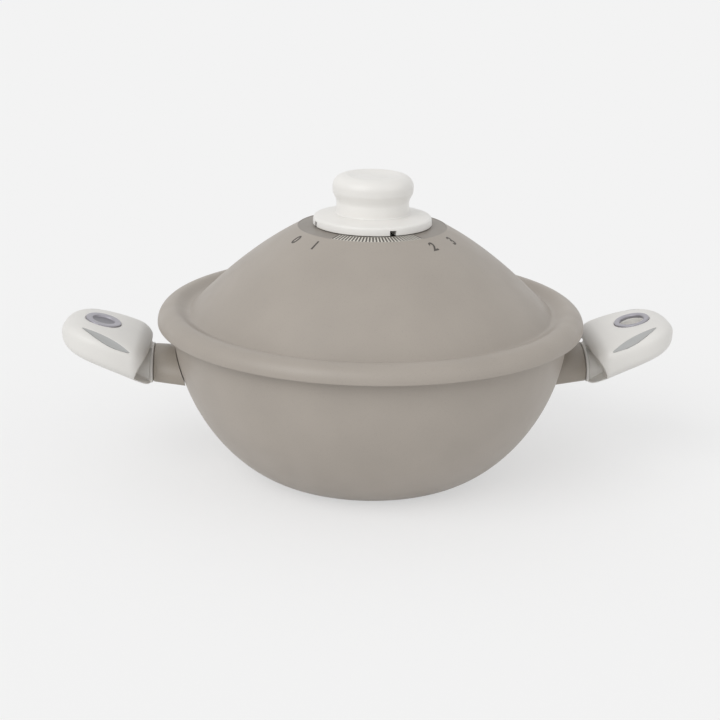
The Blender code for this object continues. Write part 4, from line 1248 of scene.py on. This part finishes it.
# %% [markdown]
# ## Casting the lid
# The lid is cast, so both faces are drawn: the upper one from the well outwards over the bead, the
# dome and the brim to the lip, the lower one back under them. Under the dome the lower face follows
# the upper one at the thickness of the metal. Four holes are drilled through the well, and a pin that
# stops the dial is cast on.

# %% Lid
dome = []
for i in range(49):
    radius = blend(DISC_RADIUS, VALLEY_RADIUS, math.sin(math.pi / 2 * i / 48))
    dome.append((radius, dome_height(radius)))
brim = [(blend(VALLEY_RADIUS, CREST_RADIUS, i / 16), 0.0) for i in range(1, 16)]
brim = [(radius, brim_height(radius)) for radius, _ in brim]
edge = arc((CREST_RADIUS, LIP_EDGE), (LID_RADIUS - CREST_RADIUS, CREST_HEIGHT - LIP_EDGE), 90, 0, 18)
bead_end = DISC_RADIUS + BEAD_WIDTH
bead = [
    (WELL_RADIUS, WELL_FLOOR, 0.0004),
    (WELL_RADIUS, DISC_TOP, 0.0006),
    (DISC_RADIUS - 0.0004, DISC_EDGE, 0.0003),
    (DISC_RADIUS, DISC_EDGE + BEAD_RISE, 0.0003),
    (bead_end - 0.0006, dome_height(bead_end) + BEAD_RISE, 0.0004),
    (bead_end, dome_height(bead_end), 0.0003),
]
slope = [point for point in dome if point[0] > bead_end + 0.0006]
rib_outer = TRAY_WALL_RADIUS - RIB_GAP
rib_low = LID_SEAT - RIB_DROP
under_dome = [point for point in below(dome, LID_SHEET) if point[0] < rib_outer - RIB_WIDTH - 0.0005]
under_brim = [
    (rib_outer - RIB_WIDTH, rib_low, 0.0006),
    (rib_outer, rib_low, 0.0006),
    (rib_outer + RIB_DROP, LID_SEAT, 0.0004),
    (TRAY_RIM_RADIUS + FIT, LID_SEAT, 0.0004),
    (TRAY_RIM_RADIUS + 0.001, CREST_HEIGHT - LID_SHEET, 0.0010),
    (LID_RADIUS - LID_SHEET - 0.0032, CREST_HEIGHT - LID_SHEET - 0.0015, 0.0012),
    (LID_RADIUS - LID_SHEET, LIP_EDGE, 0.0012),
    (LID_RADIUS - LID_SHEET, LIP_LOW, 0.0008),
]
hole = SCREW_RADIUS + 2 * FIT
top_side = [(hole, WELL_FLOOR, 0.0003), *bead, *slope, *brim, *edge, (LID_RADIUS, LIP_LOW, 0.0008)]
well_under = WELL_FLOOR - WELL_THICKNESS
under_well = [(WELL_RADIUS + LID_SHEET, well_under, 0.0012), (hole, well_under)]
lid = solid("lid_dome", turned([*top_side, *under_brim[::-1], *under_dome[::-1], *under_well]))
carve(lid, vent_holes())
stop_azimuth = NOTCH_AZIMUTH + VENT_TURN / 2
stop_x, stop_y = STOP_CIRCLE * math.cos(stop_azimuth), STOP_CIRCLE * math.sin(stop_azimuth)
pin_ends = (stop_x, stop_y, WELL_FLOOR - STOP_ROOT), (stop_x, stop_y, DIAL_BOTTOM + STOP_REACH)
carve(lid, [rod(STOP_RADIUS, *pin_ends, 32)], "UNION")
finished(lid, lid_coating, "lid", "lid_coating", "lid_shell")

# %% [markdown]
# ## The vent scale
# Fine lines are printed on the disc in front of the dial, to show how far the vent is turned, and
# plain numerals on the dome beside them. The print could be a texture, but then it would blur close
# up. Here it is real: a paint layer a few hundredths of a millimetre thick, a pale ground with dark
# bars on it. One bar is made and spin copies it round.

# %% Scale
SCALE_START = math.radians(-125.6)
SCALE_SWEEP = math.radians(73.0)
SCALE_BARS = 28
SCALE_INNER = 0.0422
SCALE_OUTER = 0.0516
SCALE_MARGIN = math.radians(0.7)
BAR_WIDTH = 0.0011
BAR_MARGIN = 0.0004
PAINT = 0.00004

face = []
for radius, above in ((SCALE_INNER, -1), (SCALE_OUTER, -1), (SCALE_OUTER, 1), (SCALE_INNER, 1)):
    face.append((radius, disc_height(radius) + above * PAINT))
ground = solid("scale_ground", sector(face, SCALE_START - SCALE_MARGIN, SCALE_SWEEP + 2 * SCALE_MARGIN))
finished(ground, pale_print, "lid", "lid_coating")
low = (SCALE_INNER + BAR_MARGIN, -BAR_WIDTH / 2, 0.0)
bar_shape = block(low, (SCALE_OUTER - BAR_MARGIN, BAR_WIDTH / 2, 2 * PAINT))
for vert in bar_shape.verts:
    vert.co.z += disc_height(vert.co.x)
first = Matrix.Rotation(SCALE_START, 4, "Z")
bmesh.ops.transform(bar_shape, matrix=first, verts=bar_shape.verts)
bmesh.ops.spin(
    bar_shape,
    geom=bar_shape.verts[:] + bar_shape.edges[:] + bar_shape.faces[:],
    cent=(0, 0, 0),
    axis=(0, 0, 1),
    angle=SCALE_SWEEP,
    steps=SCALE_BARS - 1,
    use_duplicate=True,
)
turns = sorted(math.degrees(math.atan2(vert.co.y, vert.co.x)) for vert in bar_shape.verts)
print("bars from", round(turns[0], 1), "to", round(turns[-1], 1), "degrees")
bars = solid("scale_bars", bar_shape)
finished(bars, dark_print, "lid", "lid_coating")

# %% [markdown]
# ## The numerals
# A text curve gives the outline of each numeral. It is extruded to a mesh with a top and a bottom,
# bent round the axis and laid on the dome, with its top just proud of the coating. It stands upright
# for someone who looks from its side of the wok.

# %% Numerals
NUMERALS = (("0", -154.0), ("1", -134.0), ("2", -50.0), ("3", -28.0))
NUMERAL_SIZE = 0.0098
NUMERAL_CIRCLE = 0.0602
NUMERAL_STROKE = 0.00025
NUMERAL_PAINT = 0.00012


def numeral(text, azimuth):
    curve = bpy.data.curves.new("numeral", "FONT")
    curve.body = text
    curve.size = NUMERAL_SIZE
    curve.align_x = "CENTER"
    curve.align_y = "CENTER"
    curve.extrude = 0.001
    curve.offset = NUMERAL_STROKE
    thing = bpy.data.objects.new("numeral", curve)
    bpy.context.scene.collection.objects.link(thing)
    bpy.context.view_layer.update()
    outline = bpy.data.meshes.new_from_object(thing.evaluated_get(bpy.context.evaluated_depsgraph_get()))
    bpy.data.objects.remove(thing)
    bpy.data.curves.remove(curve)
    shape = bmesh.new()
    shape.from_mesh(outline)
    bpy.data.meshes.remove(outline)
    bmesh.ops.remove_doubles(shape, verts=shape.verts, dist=MERGE)
    for vert in shape.verts:
        x, y, z = vert.co
        radius, turn = NUMERAL_CIRCLE - y, math.radians(azimuth) + x / NUMERAL_CIRCLE
        lift = NUMERAL_PAINT if z > 0 else -2 * NUMERAL_PAINT
        vert.co = (radius * math.cos(turn), radius * math.sin(turn), dome_height(radius) + lift)
    bmesh.ops.recalc_face_normals(shape, faces=shape.faces)
    return shape


for text, azimuth in NUMERALS:
    finished(solid("numeral_" + text, numeral(text, azimuth)), dark_print, "lid", "lid_coating")

# %% [markdown]
# ## The dial and the knob
# Under the knob lies a wide plastic skirt with four notches in its lower edge, the outer ends of
# its steam channels. A silicone washer seals it to the well, and a slot under it takes the lid's stop
# pin. The knob is a mushroom: a dished top, a full round brow and a waist. All are turned, and the
# channels and the slot are cut afterwards.

# %% Seal and dial
DIAL_RADIUS = 0.042
DIAL_EDGE_TOP = DIAL_BOTTOM + 0.0056
DIAL_TOP = DIAL_EDGE_TOP + 0.002
KNOB_NECK_RADIUS = 0.0255
NOTCH_WIDTH = 0.0046
NOTCH_HEIGHT = 0.0035
DIAL_FLAT_WIDTH = 0.0022
SEAL_RADIUS = 0.033

seal_low, seal_high = WELL_FLOOR + FIT, WELL_FLOOR + FIT + SEAL_THICKNESS
seal_points = [
    (hole, seal_high, 0.0002),
    (SEAL_RADIUS, seal_high, 0.0005),
    (SEAL_RADIUS, seal_low, 0.0005),
    (hole, seal_low, 0.0002),
]
seal = solid("seal_ring", turned(seal_points, 96))
carve(seal, vent_holes())
finished(seal, silicone, "lid", "silicone", "vent_seal")

dial_points = [
    (SCREW_RADIUS + FIT, DIAL_TOP, 0.0002),
    (KNOB_NECK_RADIUS + DIAL_FLAT_WIDTH, DIAL_TOP, 0.001),
    (DIAL_RADIUS - 0.0006, DIAL_EDGE_TOP, 0.0014),
    (DIAL_RADIUS, DIAL_BOTTOM, 0.0006),
    (SCREW_RADIUS + FIT, DIAL_BOTTOM, 0.0002),
]
dial = solid("dial_skirt", turned(dial_points))
channels = []
for i in range(4):
    low = (VENT_CIRCLE - VENT_RADIUS, -NOTCH_WIDTH / 2, DIAL_BOTTOM - OVERRUN)
    high = (DIAL_RADIUS + OVERRUN, NOTCH_WIDTH / 2, DIAL_BOTTOM + NOTCH_HEIGHT)
    channels.append(block(low, high, 0.0004, Matrix.Rotation(NOTCH_AZIMUTH + math.pi / 2 * i, 4, "Z")))
slack = (STOP_RADIUS + 2 * FIT) / STOP_CIRCLE
slot_half = STOP_RADIUS + FIT
low, high = DIAL_BOTTOM - OVERRUN, DIAL_BOTTOM + STOP_REACH + 2 * FIT
inner, outer = STOP_CIRCLE - slot_half, STOP_CIRCLE + slot_half
face = [(inner, low), (outer, low), (outer, high), (inner, high)]
slot = sector(face, stop_azimuth - slack, VENT_TURN + 2 * slack)
turns = sorted(math.degrees(math.atan2(vert.co.y, vert.co.x)) for vert in slot.verts)
print("stop slot from", round(turns[0], 1), "to", round(turns[-1], 1), "degrees")
carve(dial, [*channels, slot])
finished(dial, knob_plastic, "knob", "knob_plastic", "vent_dial")

# %% [markdown]
# ## The knob
# The knob stands right on the dial and turns with it, so its foot runs out onto the dial in a small
# fillet and meets it almost without a gap.

# %% Knob
KNOB_BOTTOM = DIAL_TOP + FIT
KNOB_TOP = KNOB_BOTTOM + 0.0272
KNOB_RADIUS = 0.0284
BROW_HEIGHT = KNOB_BOTTOM + 0.0190
BROW_LOW = KNOB_BOTTOM + 0.0165
NECK_HEIGHT = KNOB_BOTTOM + 0.0075
DISH_RADIUS = 0.018
DISH_FLAT_RADIUS = 0.012
DISH_EDGE = 0.0008
DISH_DEPTH = 0.0018
NECK_FILLET = 0.0012
INSERT_RADIUS = 0.005
INSERT_LENGTH = 0.0164

shoulder = DISH_RADIUS + DISH_EDGE
foot = (KNOB_NECK_RADIUS + NECK_FILLET, DIAL_TOP + NECK_FILLET)
knob_points = [(0.0, KNOB_TOP - DISH_DEPTH), (DISH_FLAT_RADIUS, KNOB_TOP - DISH_DEPTH, 0.003)]
brow = arc((shoulder, BROW_HEIGHT), (KNOB_RADIUS - shoulder, KNOB_TOP - BROW_HEIGHT), 90, 0, 24)
knob_points += [(*brow[0], 0.0012), *brow[1:]]
for i in range(1, 17):
    share = (1 - math.cos(math.pi * i / 16)) / 2
    height = blend(BROW_LOW, NECK_HEIGHT, i / 16)
    knob_points.append((blend(KNOB_RADIUS, KNOB_NECK_RADIUS, share), height))
knob_points += [
    *arc(foot, (NECK_FILLET, NECK_FILLET - 0.00005), 180, 270, 12),
    (INSERT_RADIUS + FIT, KNOB_BOTTOM, 0.0002),
    (INSERT_RADIUS + FIT, KNOB_BOTTOM + INSERT_LENGTH + FIT),
    (0.0, KNOB_BOTTOM + INSERT_LENGTH + FIT),
]
knob = solid("knob_cap", turned(knob_points, 128))
finished(knob, knob_plastic, "knob", "knob_plastic", "knob_grip")

# %% [markdown]
# ## The knob's fastening
# A brass insert sits in the knob, and from inside the lid a screw with a washer and a dished spring
# washer draws knob, dial and seal into the well. The spring washer gives the turn its drag.

# %% Knob fastening
SPRING_RADIUS = 0.008
SPRING_SHEET = 0.0006
SPRING_DISH = 0.0009
KNOB_WASHER_RADIUS = 0.009
KNOB_WASHER_THICKNESS = 0.0012
KNOB_SCREW_HEAD_RADIUS = 0.0055
KNOB_SCREW_REACH = 0.013

bore = SCREW_RADIUS + FIT
insert = washer(bore, INSERT_RADIUS, KNOB_BOTTOM, KNOB_BOTTOM + INSERT_LENGTH)
insert.name = "threaded_insert"
finished(insert, brass, "knob", "brass", "knob_insert")
under_lid = well_under - FIT
spring_points = [
    (bore, under_lid - SPRING_DISH, 0.0001),
    (SPRING_RADIUS, under_lid, 0.0001),
    (SPRING_RADIUS, under_lid - SPRING_SHEET, 0.0001),
    (bore, under_lid - SPRING_DISH - SPRING_SHEET, 0.0001),
]
spring = solid("dished_washer", turned(spring_points, SMALL_STEPS))
finished(spring, steel, "knob", "steel", "knob_spring_washer")
washer_top = under_lid - SPRING_DISH - SPRING_SHEET - FIT
washer_low = washer_top - KNOB_WASHER_THICKNESS
flat_washer = washer(bore, KNOB_WASHER_RADIUS, washer_low, washer_top)
flat_washer.name = "flat_washer"
finished(flat_washer, steel, "knob", "steel", "knob_washer")
head = washer_low - FIT
length = KNOB_BOTTOM + KNOB_SCREW_REACH - head
bolt = screw(SCREW_RADIUS, KNOB_SCREW_HEAD_RADIUS, length, Matrix.Translation((0, 0, head)))
bolt.name = "knob_bolt"
finished(bolt, steel, "knob", "steel", "knob_screw")

# %% Finish
low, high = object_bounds()
print("visual box in mm:", [round(1000 * (b - a), 1) for a, b in zip(low, high)])
